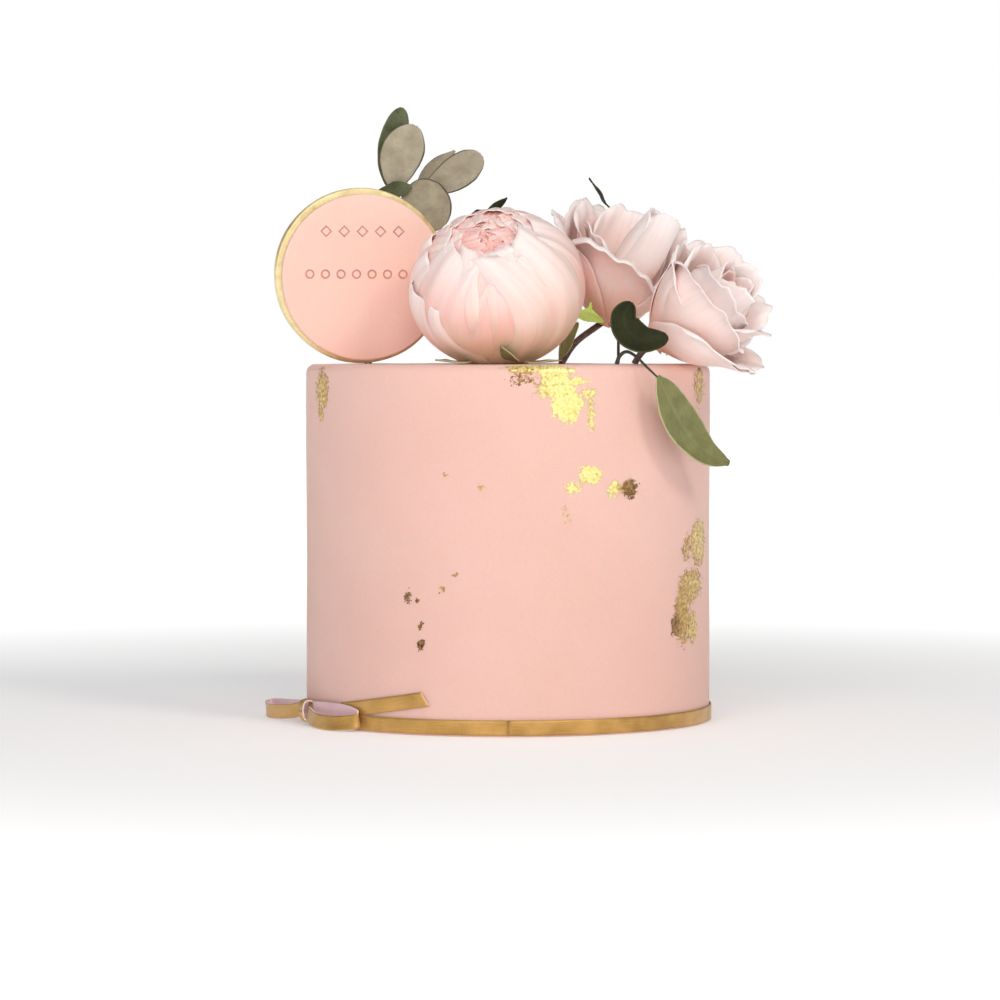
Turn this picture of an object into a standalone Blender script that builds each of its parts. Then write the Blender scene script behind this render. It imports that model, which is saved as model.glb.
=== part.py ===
"""A tall round birthday cake in smooth fondant, trimmed with a narrow gold ribbon and
crowned with a peony, two roses, leaves and a round plaque on edge.

Metres, +Z up. The origin is the middle of the cake's underside, and -Y is the front.
"""

import math
import random

import bmesh
import bpy
from mathutils import Matrix, Vector

MM = 0.001
GAP = 0.3 * MM

CAKE_RADIUS = 100 * MM
CAKE_HEIGHT = 176 * MM
CAKE_EDGE = 4.5 * MM
CAKE_FOOT = 0.8 * MM
CAKE_STEPS = 64

RIBBON_WIDTH = 7.2 * MM
RIBBON_THICKNESS = 0.6 * MM
RIBBON_LIFT = 0.8 * MM

BOW_KNOT_TURN = -68.5
BOW_KNOT_OUT = 5.2 * MM
BOW_KNOT_Z = 7.4 * MM
BOW_KNOT_SIZE = (4.0 * MM, 3.7 * MM, 6.2 * MM)
BOW_POINTS = 20
TAIL_SLANT = 4.5 * MM

PLAQUE_RADIUS = 43.4 * MM
PLAQUE_BACK_THICKNESS = 4.6 * MM
PLAQUE_FACE_RADIUS = 40.0 * MM
PLAQUE_FACE_THICKNESS = 3.2 * MM
PLAQUE_EDGE = 0.8 * MM
PLAQUE_TURN = math.radians(12)
PLAQUE_X = -73.0 * MM
PLAQUE_Y = 6.0 * MM
MARK_DEPTH = 0.7 * MM
DIAMOND_SIZE = 5.4 * MM
DIAMOND_PITCH = 9.4 * MM
DIAMOND_HEIGHT = 20.5 * MM
DOT_SIZE = 3.6 * MM
DOT_PITCH = 7.6 * MM

PETAL_THICKNESS = 1.6 * MM
PETAL_ROWS = 5
PETAL_COLUMNS = 5

PEONY_X = -5.0 * MM
PEONY_Y = -28.0 * MM
PEONY_RADIUS = 41.5 * MM
PEONY_PETAL_THICKNESS = 2.4 * MM
PEONY_HEIGHT = 77 * MM
PEONY_BEND = math.radians(34)
PEONY_TURN = math.radians(-8)

ROSE_LEFT_BASE = Vector((46.8, 14.0, 196.3)) * MM
ROSE_LEFT_AXIS = Vector((0.36, -0.16, 0.92))
ROSE_LEFT_SPIN = math.radians(-20)
ROSE_LEFT_SIZE = 1.06

ROSE_RIGHT_BASE = Vector((72.5, -38.0, 186.5)) * MM
ROSE_RIGHT_AXIS = Vector((0.72, -0.42, 0.55))
ROSE_RIGHT_SPIN = math.radians(20)
ROSE_RIGHT_SIZE = 1.0

LEAF_THICKNESS = 1.0 * MM
LEAF_ROWS = 7
LEAF_COLUMNS = 4


def clear_scene():
    for obj in list(bpy.data.objects):
        bpy.data.objects.remove(obj, do_unlink=True)


def new_collection(name):
    made = bpy.data.collections.new(name)
    bpy.context.scene.collection.children.link(made)
    return made


def make_material(name, colour, roughness, metallic=0.0):
    made = bpy.data.materials.new(name)
    made.use_nodes = True
    shader = made.node_tree.nodes["Principled BSDF"]
    shader.inputs["Base Color"].default_value = (*colour, 1.0)
    shader.inputs["Roughness"].default_value = roughness
    shader.inputs["Metallic"].default_value = metallic
    made.diffuse_color = (*colour, 1.0)
    return made


def object_from(name, points, faces, collection, material=None):
    mesh = bpy.data.meshes.new(name)
    mesh.from_pydata([tuple(p) for p in points], [], faces)
    mesh.update()
    made = bpy.data.objects.new(name, mesh)
    collection.objects.link(made)
    if material:
        mesh.materials.append(material)
    return made


def apply_modifiers(obj):
    """Replaces the object's mesh by its evaluated one, and clears the modifiers."""
    bpy.context.view_layer.update()
    graph = bpy.context.evaluated_depsgraph_get()
    mesh = bpy.data.meshes.new_from_object(obj.evaluated_get(graph))
    old = obj.data
    obj.modifiers.clear()
    obj.data = mesh
    bpy.data.meshes.remove(old)


def mesh_from_curve(curve_object, collection, material):
    """A closed mesh object in place of a curve object, with its caps welded on."""
    bpy.context.view_layer.update()
    graph = bpy.context.evaluated_depsgraph_get()
    mesh = bpy.data.meshes.new_from_object(curve_object.evaluated_get(graph))
    cage = bmesh.new()
    cage.from_mesh(mesh)
    bmesh.ops.remove_doubles(cage, verts=cage.verts, dist=0.00001)
    bmesh.ops.recalc_face_normals(cage, faces=cage.faces)
    cage.to_mesh(mesh)
    cage.free()
    name = curve_object.name
    world = curve_object.matrix_world.copy()
    bpy.data.objects.remove(curve_object, do_unlink=True)
    made = bpy.data.objects.new(name, mesh)
    made.matrix_world = world
    collection.objects.link(made)
    mesh.materials.clear()
    mesh.materials.append(material)
    mesh.shade_smooth()
    return made


def turned(name, profile, steps, collection, material, closed=False):
    """A profile of (radius, height) points turned about Z with a Screw modifier."""
    edges = [(i, i + 1) for i in range(len(profile) - 1)]
    if closed:
        edges.append((len(profile) - 1, 0))
    mesh = bpy.data.meshes.new(name)
    mesh.from_pydata([(r, 0.0, z) for r, z in profile], edges, [])
    mesh.materials.append(material)
    made = bpy.data.objects.new(name, mesh)
    collection.objects.link(made)
    screw = made.modifiers.new("Turn", "SCREW")
    screw.axis = "Z"
    screw.steps = steps
    screw.render_steps = steps
    screw.use_merge_vertices = True
    screw.merge_threshold = 0.00005
    screw.use_smooth_shade = True
    return made


def arc(centre, radius, start, end, count):
    """(radius, height) points along an arc, angles in degrees from +r towards +z."""
    angles = [math.radians(start + (end - start) * i / count) for i in range(count + 1)]
    return [(centre[0] + radius * math.cos(a), centre[1] + radius * math.sin(a)) for a in angles]


def make_cake(collection, fondant):
    corner = (CAKE_RADIUS - CAKE_EDGE, CAKE_HEIGHT - CAKE_EDGE)
    foot = (CAKE_RADIUS - CAKE_FOOT, CAKE_FOOT)
    profile = [(0.0, CAKE_HEIGHT)]
    profile += arc(corner, CAKE_EDGE, 90, 0, 4)
    profile += arc(foot, CAKE_FOOT, 0, -90, 2)
    profile += [(0.0, 0.0)]
    return turned("cake", profile, CAKE_STEPS, collection, fondant)


def make_base_ribbon(collection, gold):
    inner = CAKE_RADIUS + GAP
    outer = inner + RIBBON_THICKNESS
    low, high = RIBBON_LIFT, RIBBON_LIFT + RIBBON_WIDTH
    profile = [(inner, high), (outer, high), (outer, low), (inner, low)]
    return turned("base_ribbon", profile, CAKE_STEPS, collection, gold, closed=True)


def smooth_path(points, count):
    """Points along a Catmull-Rom curve through the given ones."""
    knots = [Vector(p) for p in points]
    ends = [2 * knots[0] - knots[1], *knots, 2 * knots[-1] - knots[-2]]
    found = []
    spans = len(knots) - 1
    for i in range(count + 1):
        place = i * spans / count
        k = min(int(place), spans - 1)
        u = place - k
        a, b, c, d = ends[k : k + 4]
        found.append(
            0.5
            * (
                2 * b
                + (c - a) * u
                + (2 * a - 5 * b + 4 * c - d) * u * u
                + (3 * b - a - 3 * c + d) * u ** 3
            )
        )
    return found


def ribbon_strip(name, centres, leans, width, collection, material):
    """A ribbon on edge along its centre line. A lean of 0 stands upright, and a positive
    lean tips the upper margin to the right of the way along."""
    count = len(centres)
    points = []
    for i, centre in enumerate(centres):
        ahead = centres[min(i + 1, count - 1)] - centres[max(i - 1, 0)]
        side = ahead.cross(Vector((0, 0, 1))).normalized()
        lean = leans(i / (count - 1))
        across = side * math.sin(lean) + Vector((0, 0, 1)) * math.cos(lean)
        points += [centre - across * width / 2, centre + across * width / 2]
    faces = [(2 * i, 2 * i + 2, 2 * i + 3, 2 * i + 1) for i in range(count - 1)]
    made = object_from(name, points, faces, collection, material)
    shell = made.modifiers.new("Thickness", "SOLIDIFY")
    shell.thickness = RIBBON_THICKNESS
    shell.offset = 0.0
    return made


def on_cake(turn_deg, out, z):
    """A point at a turn round the cake (0 is the front, negative the left side), a
    distance out from its wall and a height."""
    turn = math.radians(turn_deg)
    reach = CAKE_RADIUS + out
    return Vector((reach * math.sin(turn), -reach * math.cos(turn), z))


def make_bow(collection, gold):
    # The front loop comes towards the viewer along the wall, tipped outwards at the top.
    front = smooth_path(
        [
            on_cake(-65.4, 3.6 * MM, 8.6 * MM),
            on_cake(-58.0, 2.2 * MM, 9.0 * MM),
            on_cake(-50.0, 1.9 * MM, 8.8 * MM),
            on_cake(-44.6, 2.6 * MM, 7.2 * MM),
            on_cake(-43.4, 4.6 * MM, 5.6 * MM),
            on_cake(-45.6, 7.0 * MM, 4.6 * MM),
            on_cake(-51.0, 9.6 * MM, 3.9 * MM),
            on_cake(-58.0, 9.6 * MM, 4.3 * MM),
            on_cake(-65.4, 6.8 * MM, 6.2 * MM),
        ],
        BOW_POINTS,
    )
    ribbon_strip(
        "bow_loop_front", front, lambda t: math.radians(8), RIBBON_WIDTH, collection, gold
    )
    back = smooth_path(
        [
            on_cake(-71.6, 6.6 * MM, 7.4 * MM),
            on_cake(-78.0, 10.5 * MM, 5.4 * MM),
            on_cake(-87.0, 17.5 * MM, 4.1 * MM),
            on_cake(-94.0, 21.0 * MM, 4.2 * MM),
            on_cake(-96.6, 19.2 * MM, 4.8 * MM),
            on_cake(-94.0, 14.6 * MM, 5.4 * MM),
            on_cake(-86.0, 8.0 * MM, 6.4 * MM),
            on_cake(-78.0, 4.4 * MM, 7.4 * MM),
            on_cake(-71.6, 3.2 * MM, 8.4 * MM),
        ],
        BOW_POINTS,
    )
    ribbon_strip(
        "bow_loop_back", back, lambda t: math.radians(-4), RIBBON_WIDTH, collection, gold
    )
    tail = smooth_path(
        [
            on_cake(-49.0, 0.8 * MM, 12.4 * MM),
            on_cake(-42.0, 0.8 * MM, 13.2 * MM),
            on_cake(-33.0, 0.9 * MM, 15.3 * MM),
            on_cake(-24.0, 1.2 * MM, 18.0 * MM),
        ],
        12,
    )
    tail_object = ribbon_strip(
        "bow_tail", tail, lambda t: 0.0, RIBBON_WIDTH, collection, gold
    )
    # The free end is cut on the slant.
    end = tail_object.data.vertices[-2]
    end.co += (tail[-1] - tail[-2]).normalized() * TAIL_SLANT
    make_bow_knot(collection, gold)


def make_bow_knot(collection, gold):
    bpy.ops.mesh.primitive_uv_sphere_add(segments=12, ring_count=8, radius=1.0)
    knot = bpy.context.object
    knot.name = "bow_knot"
    move_to(knot, collection)
    turn = math.radians(BOW_KNOT_TURN)
    along = Vector((math.cos(turn), math.sin(turn), 0))
    inward = Vector((-along.y, along.x, 0))
    centre = on_cake(BOW_KNOT_TURN, BOW_KNOT_OUT, BOW_KNOT_Z)
    for vertex in knot.data.vertices:
        # The wrap is boxier than a ball.
        x, y, z = (math.copysign(abs(c) ** 0.62, c) * 0.86 for c in vertex.co)
        vertex.co = (
            centre
            + along * x * BOW_KNOT_SIZE[0]
            + inward * y * BOW_KNOT_SIZE[1]
            + Vector((0, 0, z * BOW_KNOT_SIZE[2]))
        )
    knot.data.materials.clear()
    knot.data.materials.append(gold)
    knot.data.shade_smooth()


def move_to(obj, collection):
    for old in list(obj.users_collection):
        old.objects.unlink(obj)
    collection.objects.link(obj)


def cylinder(name, radius, depth, segments, collection, material):
    bpy.ops.mesh.primitive_cylinder_add(vertices=segments, radius=radius, depth=depth)
    made = bpy.context.object
    made.name = name
    move_to(made, collection)
    made.data.materials.clear()
    if material:
        made.data.materials.append(material)
    return made


def plaque_frame(forward):
    """The plaque's frame: local +Z is the way its face looks, local +Y is up."""
    face_way = Vector((math.sin(PLAQUE_TURN), -math.cos(PLAQUE_TURN), 0))
    right = Vector((math.cos(PLAQUE_TURN), math.sin(PLAQUE_TURN), 0))
    up = Vector((0, 0, 1))
    centre = Vector((PLAQUE_X, PLAQUE_Y, CAKE_HEIGHT + GAP + PLAQUE_RADIUS)) + face_way * forward
    frame = Matrix.Identity(4)
    for column, axis in enumerate((right, up, face_way)):
        for row in range(3):
            frame[row][column] = axis[row]
    frame.translation = centre
    return frame


def plaque_marks():
    """The pressed marks on the plaque's face, as (x, y, size, sides) in its plane: a row of
    five diamonds over a row of eight dots."""
    upper = [(DIAMOND_PITCH * (i - 2), DIAMOND_HEIGHT, DIAMOND_SIZE, 4) for i in range(5)]
    lower = [(DOT_PITCH * (i - 3.5), 0.0, DOT_SIZE, 8) for i in range(8)]
    return upper + lower


def make_plaque(collection, pink, gold):
    back = cylinder("plaque_back", PLAQUE_RADIUS, PLAQUE_BACK_THICKNESS, 48, collection, gold)
    face = cylinder("plaque_face", PLAQUE_FACE_RADIUS, PLAQUE_FACE_THICKNESS, 48, collection, pink)
    front = PLAQUE_BACK_THICKNESS / 2 + GAP + PLAQUE_FACE_THICKNESS / 2
    back.matrix_world = plaque_frame(0.0)
    face.matrix_world = plaque_frame(front)
    for obj in (back, face):
        bevel = obj.modifiers.new("Round", "BEVEL")
        bevel.width = PLAQUE_EDGE
        bevel.segments = 1
        bevel.limit_method = "ANGLE"
    marks = new_collection("mark_cutters")
    marks.hide_render = True
    for n, (x, y, size, sides) in enumerate(plaque_marks()):
        mark = cylinder(f"mark_{n}", size / 2, 2 * MARK_DEPTH, sides, marks, None)
        place = Matrix.Translation((x, y, PLAQUE_FACE_THICKNESS / 2))
        mark.matrix_world = plaque_frame(front) @ place
        mark.hide_render = True
        mark.display_type = "WIRE"
    cut = face.modifiers.new("Marks", "BOOLEAN")
    cut.operation = "DIFFERENCE"
    cut.operand_type = "COLLECTION"
    cut.collection = marks
    cut.solver = "EXACT"


class Petal:
    """One petal in its flower's frame. Angles are in degrees and lengths in metres.

    The midline starts at start = (distance from the axis, height) and runs for reach, its
    slope turning evenly from base to rim (0 is straight out, 90 up, 180 back in). The last
    part rolls outwards by curl. Across, the petal wraps round the axis: wrap 1 keeps it as
    far from the axis all the way, and more is flatter. skew lifts one margin outwards."""

    def __init__(self, turn, reach, width, base, rim, **shape):
        self.turn, self.reach, self.width = turn, reach, width
        self.base, self.rim = base, rim
        self.start = shape.pop("start", (2 * MM, 0.0))
        self.curl = shape.pop("curl", 0.0)
        self.curl_from = shape.pop("curl_from", 0.75)
        self.wrap = shape.pop("wrap", 1.15)
        self.skew = shape.pop("skew", 0.0)
        self.corner = shape.pop("corner", 0.28)
        self.notch = shape.pop("notch", 0.0)
        self.ruffle = shape.pop("ruffle", 0.0)
        self.waves = shape.pop("waves", 2.5)
        self.phase = shape.pop("phase", 0.0)
        self.claw = shape.pop("claw", 0.30)

    def half_width(self, t):
        grown = self.claw + (1 - self.claw) * math.sin(math.pi / 2 * min(1.0, t / 0.62)) ** 1.3
        return self.width / 2 * grown * (1 - 0.10 * max(0.0, t - 0.75) / 0.25)

    def slope(self, t, s):
        steady = self.base + (self.rim - self.base) * t
        late = max(0.0, (t - self.curl_from) / (1 - self.curl_from))
        return math.radians(steady - self.curl * late ** 1.5 * (1 + 0.25 * s * s))

    def grid(self, rows, columns):
        """Mid-surface points, row by row from the base to the rim."""
        found = [[None] * columns for _ in range(rows)]
        fine = 4
        for j in range(columns):
            s = 2 * j / (columns - 1) - 1
            dip = self.notch * math.exp(-((s / 0.22) ** 2))
            length = self.reach * (1 - self.corner * abs(s) ** 2.6 - dip)
            r, z = self.start
            for i in range(rows):
                t = i / (rows - 1)
                if i:
                    for k in range(fine):
                        angle = self.slope(t - (1 - (k + 0.5) / fine) / (rows - 1), s)
                        step = length / (rows - 1) / fine
                        r += math.cos(angle) * step
                        z += math.sin(angle) * step
                found[i][j] = self.placed(r, z, t, s)
        return found

    def placed(self, r, z, t, s):
        half = self.half_width(t)
        around = max(abs(r) * self.wrap, half * 0.55, 1.0 * MM)
        theta = s * half / around
        slope = self.slope(t, s)
        wave = self.ruffle * t ** 2 * math.sin(self.waves * math.pi * s + self.phase)
        wave *= 0.35 + 0.65 * abs(s)
        radial = r - around + around * math.cos(theta) + self.skew * s * t
        radial += -wave * math.sin(slope)
        height = z + wave * math.cos(slope)
        sideways = around * math.sin(theta)
        turn = math.radians(self.turn)
        return Vector(
            (
                radial * math.cos(turn) - sideways * math.sin(turn),
                radial * math.sin(turn) + sideways * math.cos(turn),
                height,
            )
        )


def sheet_solid(name, grid, thickness, collection, material=None):
    """A grid of points as a thin closed solid, both faces split into triangles alike."""
    rows, columns = len(grid), len(grid[0])
    points = [p for row in grid for p in row]
    faces = []
    for i in range(rows - 1):
        for j in range(columns - 1):
            a = i * columns + j
            corners = (a, a + 1, a + columns + 1, a + columns)
            if (i + j) % 2:
                faces += [corners[:3], (corners[0], corners[2], corners[3])]
            else:
                faces += [(corners[0], corners[1], corners[3]), corners[1:]]
    made = object_from(name, points, faces, collection, material)
    shell = made.modifiers.new("Thickness", "SOLIDIFY")
    shell.thickness = thickness
    shell.offset = 0.0
    return made


def outer_shell_only(obj):
    """Keeps the largest closed surface: fills sealed hollows and drops loose scraps."""
    cage = bmesh.new()
    cage.from_mesh(obj.data)
    bmesh.ops.triangulate(cage, faces=cage.faces)
    unseen = set(cage.faces)
    shells = []
    while unseen:
        group, queue = [], [unseen.pop()]
        while queue:
            face = queue.pop()
            group.append(face)
            for edge in face.edges:
                for other in edge.link_faces:
                    if other in unseen:
                        unseen.discard(other)
                        queue.append(other)
        shells.append(group)
    shells.sort(key=len, reverse=True)
    for group in shells[1:]:
        bmesh.ops.delete(cage, geom=group, context="FACES")
    cage.to_mesh(obj.data)
    cage.free()


def flower_frame(base, axis, spin):
    """The flower's frame: +Z along its axis from its base."""
    turn = axis.normalized().to_track_quat("Z", "Y").to_matrix().to_4x4()
    return Matrix.Translation(base) @ turn @ Matrix.Rotation(spin, 4, "Z")


def fused_flower(core, petals, place, thickness, material):
    """Joins the petals, put in place by the given function, to the core as one solid."""
    loose = new_collection(core.name + "_petals")
    for n, petal in enumerate(petals):
        grid = [[place(p) for p in row] for row in petal.grid(PETAL_ROWS, PETAL_COLUMNS)]
        apply_modifiers(sheet_solid(f"{core.name}_petal_{n}", grid, thickness, loose))
    join = core.modifiers.new("Join", "BOOLEAN")
    join.operation = "UNION"
    join.operand_type = "COLLECTION"
    join.collection = loose
    join.solver = "MANIFOLD"
    apply_modifiers(core)
    for obj in list(loose.objects):
        bpy.data.objects.remove(obj, do_unlink=True)
    bpy.data.collections.remove(loose)
    outer_shell_only(core)
    core.data.materials.clear()
    core.data.materials.append(material)
    return core


def egg(name, radius, low, high, segments, rings, place, collection):
    """A closed egg between two heights on the flower's axis, as its core."""
    bpy.ops.mesh.primitive_uv_sphere_add(segments=segments, ring_count=rings, radius=1.0)
    made = bpy.context.object
    made.name = name
    move_to(made, collection)
    middle, half = (low + high) / 2, (high - low) / 2
    for vertex in made.data.vertices:
        x, y, z = vertex.co
        vertex.co = place(Vector((x * radius, y * radius, middle + z * half)))
    return made


def ball_petal(turn, radius, first, closing, width, **shape):
    """A petal that follows a ball standing on the flower's origin, from one angle off its
    foot to another (degrees)."""
    angle = math.radians(first)
    start = (max(radius * math.sin(angle), 0.5 * MM), PEONY_RADIUS - radius * math.cos(angle))
    reach = math.radians(closing - first) * radius
    return Petal(turn, reach, width, first, closing, start=start, wrap=1.0, **shape)


def peony_petals():
    """Rings of petals that close over a ball, their rims frilled round the opening."""
    rng = random.Random(7)
    petals = []
    outer = ((-66, 142, 74), (-136, 116, 62), (160, 128, 64), (88, 136, 68), (14, 132, 66))
    for n, (turn, closing, width) in enumerate(outer):
        petals.append(
            ball_petal(
                turn, PEONY_RADIUS + (0.8 + 0.8 * (n % 2)) * MM, 0, closing, width * MM, claw=0.22,
                corner=0.14, notch=0.04, skew=1.8 * MM, ruffle=1.4 * MM, phase=1.7 * n,
            )
        )
    for n in range(4):
        petals.append(
            ball_petal(
                90 * n + rng.uniform(-8, 8), PEONY_RADIUS - 2.6 * MM, 60, rng.uniform(138, 150),
                54 * MM, claw=0.7, corner=0.16, notch=0.08, skew=1.5 * MM, ruffle=2.0 * MM,
                waves=3.0, phase=rng.uniform(0, 6), curl=rng.uniform(-10, 30),
            )
        )
    for n in range(4):
        petals.append(
            ball_petal(
                90 * n + 36 + rng.uniform(-10, 10), PEONY_RADIUS - 7.0 * MM, 100,
                rng.uniform(140, 158), 30 * MM, claw=0.8, corner=0.2, notch=0.12,
                ruffle=2.2 * MM, waves=3.0, phase=rng.uniform(0, 6), curl=rng.uniform(0, 50),
            )
        )
    return petals


def peony_place(p):
    """From the peony's own ball to its seat on the cake: pressed a little flatter, its top
    bent over towards the front."""
    height = p.z / (2 * PEONY_RADIUS) * PEONY_HEIGHT
    bend = PEONY_BEND * min(1.0, max(0.0, height / PEONY_HEIGHT)) ** 0.8
    across = Matrix.Rotation(PEONY_TURN, 3, "Z") @ Vector((p.x, p.y, 0))
    middle = PEONY_HEIGHT / 2
    rise = height - middle
    y = across.y * math.cos(bend) - rise * math.sin(bend)
    z = across.y * math.sin(bend) + rise * math.cos(bend)
    return Vector((PEONY_X + across.x, PEONY_Y + y, CAKE_HEIGHT + middle + z))


def make_peony(collection, petal_material):
    core = egg(
        "peony", PEONY_RADIUS, 0.0, 2 * PEONY_RADIUS - 7 * MM, 20, 12,
        peony_place, collection,
    )
    fused_flower(core, peony_petals(), peony_place, PEONY_PETAL_THICKNESS, petal_material)
    press_foot(core, CAKE_HEIGHT + GAP)


def press_foot(obj, seat):
    """Cuts the object off flat at a height, where it sits on the cake."""
    bpy.ops.mesh.primitive_cube_add(size=1.0)
    block = bpy.context.object
    block.data.transform(Matrix.Diagonal((0.2, 0.2, 0.04, 1.0)))
    block.data.transform(Matrix.Translation((0.0, 0.0, seat - 0.02)))
    cut = obj.modifiers.new("Seat", "BOOLEAN")
    cut.operation = "DIFFERENCE"
    cut.object = block
    cut.solver = "MANIFOLD"
    apply_modifiers(obj)
    bpy.data.objects.remove(block, do_unlink=True)
    outer_shell_only(obj)


def rose_petals(seed, size):
    """A wound bud, a half-open ring and an outer cup, their rims rolled out."""
    rng = random.Random(seed)
    petals = []
    for n in range(3):
        petals.append(
            Petal(
                120 * n + 20, 62 * MM * size, 33 * MM * size, 52, 112, start=(3 * MM, 2 * MM),
                wrap=1.0, corner=0.16, skew=2.4 * MM, claw=0.5, curl=24, curl_from=0.8,
            )
        )
    for n in range(3):
        petals.append(
            Petal(
                120 * n + 70 + rng.uniform(-8, 8), 58 * MM * size, 50 * MM * size, 44, 100,
                start=(4 * MM, 1 * MM), wrap=1.08, corner=0.22, skew=2.6 * MM, claw=0.4,
                curl=50, curl_from=0.78, ruffle=1.2 * MM, phase=rng.uniform(0, 6),
            )
        )
    for n in range(4):
        petals.append(
            Petal(
                90 * n + rng.uniform(-6, 6), 56 * MM * size, 62 * MM * size, 28, 86,
                start=(4 * MM, 0.0), wrap=1.15, corner=0.24, skew=2.8 * MM, claw=0.36,
                curl=90, curl_from=0.74, ruffle=1.8 * MM, phase=rng.uniform(0, 6),
            )
        )
    return petals


def make_rose(name, base, axis, spin, seed, size, collection, petal_material):
    frame = flower_frame(base, axis, spin)

    def place(p):
        return frame @ p

    core = egg(name, 8 * MM * size, -2 * MM, 40 * MM * size, 10, 6, place, collection)
    return fused_flower(core, rose_petals(seed, size), place, PETAL_THICKNESS, petal_material)


def leaf(name, spine, width, facing, collection, material, **shape):
    """A leaf along its midrib. facing is the way its upper face looks, cup lifts its
    margins that way, wave ripples them, and a small blunt gives a pointed tip."""
    cup = shape.get("cup", 0.12)
    wave = shape.get("wave", 0.6 * MM)
    blunt = shape.get("blunt", 0.75)
    widest = shape.get("widest", 0.5)
    stalk = shape.get("stalk", 0.10)
    centres = smooth_path([Vector(p) * MM for p in spine], LEAF_ROWS - 1)
    grid = []
    for i, centre in enumerate(centres):
        t = i / (LEAF_ROWS - 1)
        ahead = centres[min(i + 1, LEAF_ROWS - 1)] - centres[max(i - 1, 0)]
        side = ahead.cross(Vector(facing)).normalized()
        up = side.cross(ahead).normalized()
        along = t ** (math.log(0.5) / math.log(widest))
        half = width / 2 * max(math.sin(math.pi * along) ** blunt, stalk)
        row = []
        for j in range(LEAF_COLUMNS):
            s = 2 * j / (LEAF_COLUMNS - 1) - 1
            lift = cup * half * s * s + wave * s * abs(s) * math.sin(3 * math.pi * t)
            row.append(centre + side * half * s + up * lift)
        grid.append(row)
    return sheet_solid(name, grid, LEAF_THICKNESS, collection, material)


def stem(name, route, thickness, collection, material, steps=6):
    curve = bpy.data.curves.new(name, "CURVE")
    curve.dimensions = "3D"
    curve.bevel_depth = thickness / 2
    curve.bevel_resolution = 2
    curve.use_fill_caps = True
    centres = smooth_path([Vector(p) * MM for p in route], steps)
    spline = curve.splines.new("POLY")
    spline.points.add(len(centres) - 1)
    for point, centre in zip(spline.points, centres):
        point.co = (*centre, 1.0)
    made = bpy.data.objects.new(name, curve)
    collection.objects.link(made)
    return mesh_from_curve(made, collection, material)


def make_hanging_spray(collection, olive, dark):
    """The stalk at the front rim, with its dark leaf and the leaf that hangs over."""
    stem(
        "spray_stalk",
        [(51.6, -79, 177), (53.2, -79, 180), (56.5, -79.4, 182), (61, -81, 179.6),
         (66, -84.5, 174.6), (69.5, -85, 171.4)],
        1.9 * MM, collection, olive,
    )
    leaf(
        "leaf_hanging",
        [(70.6, -85.2, 170.2), (75.2, -83.5, 162), (80.2, -79.5, 152), (86.5, -73.5, 142),
         (95, -67, 134), (106.5, -60, 128.5)],
        19 * MM, (0.40, -0.88, 0.25), collection, olive, widest=0.52, blunt=0.8, cup=0.16,
    )
    leaf(
        "leaf_dark",
        [(57.6, -82.5, 206), (53.6, -81.6, 198), (56.6, -81.6, 190.5), (64, -81.6, 187.2),
         (75.5, -81.6, 188.2)],
        14 * MM, (0.1, -1, 0.25), collection, dark, blunt=0.5, cup=0.30, wave=0.4 * MM,
    )


def make_sprig(collection, taupe, dark, olive):
    """The sprig behind the plaque: two stalks and their leaves."""
    stem("sprig_stalk_left", [(-68, 37, 177), (-64, 38, 220), (-59, 36, 262)], 2.2 * MM,
         collection, olive)
    stem("sprig_stalk_right", [(-58, 43, 177), (-58, 43, 215), (-44.5, 40, 258.6)], 2.2 * MM,
         collection, olive)
    leaf("sprig_leaf_1", [(-60.5, 40, 264.5), (-59.5, 42, 285), (-54.6, 43, 305.5)], 17.5 * MM,
         (0.35, -0.9, 0.1), collection, dark, blunt=0.6, cup=0.2)
    leaf("sprig_leaf_2", [(-57.6, 33, 265), (-54.2, 33, 281), (-46.4, 34, 297.5)], 22 * MM,
         (0, -1, 0.1), collection, taupe, blunt=0.55, cup=0.12)
    leaf("sprig_leaf_3", [(-46.6, 44, 263), (-38, 45, 273), (-27, 46, 283.6)], 9 * MM,
         (0, -1, 0.2), collection, dark, blunt=0.8, cup=0.2)
    leaf("sprig_leaf_4", [(-42.5, 37, 262.5), (-28, 38, 270), (-12.6, 39, 281.6)], 16 * MM,
         (0.1, -1, 0.1), collection, taupe, blunt=0.5, cup=0.15)
    leaf("sprig_leaf_5", [(-48.0, 30, 263.0), (-39, 27, 254.5), (-33.6, 25, 243.0)], 21 * MM,
         (0, -1, 0.1), collection, taupe, blunt=0.5, cup=0.2)
    leaf("sprig_calyx", [(-64.5, 32.6, 262.6), (-57, 27.5, 263), (-50, 27.5, 266)], 7 * MM,
         (0, -0.9, 0.4), collection, olive, blunt=0.6, cup=0.25)


def make_twig(collection, dark):
    """Two narrow leaves, edge on, behind the top of the peony."""
    stem("twig_stalk", [(-14, 22, 177), (-20, 24, 215), (-18, 22, 246)], 1.6 * MM,
         collection, dark)
    leaf("twig_leaf_1", [(-20.5, 20.5, 247), (-16, 19, 250), (-11.5, 18, 252.5)], 5 * MM,
         (0.3, 0.5, 0.8), collection, dark, blunt=0.9)
    leaf("twig_leaf_2", [(-14.6, 24, 246.5), (-8, 24, 252), (-0.5, 24, 259)], 6 * MM,
         (0.3, 0.45, 0.8), collection, dark, blunt=0.9)


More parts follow.
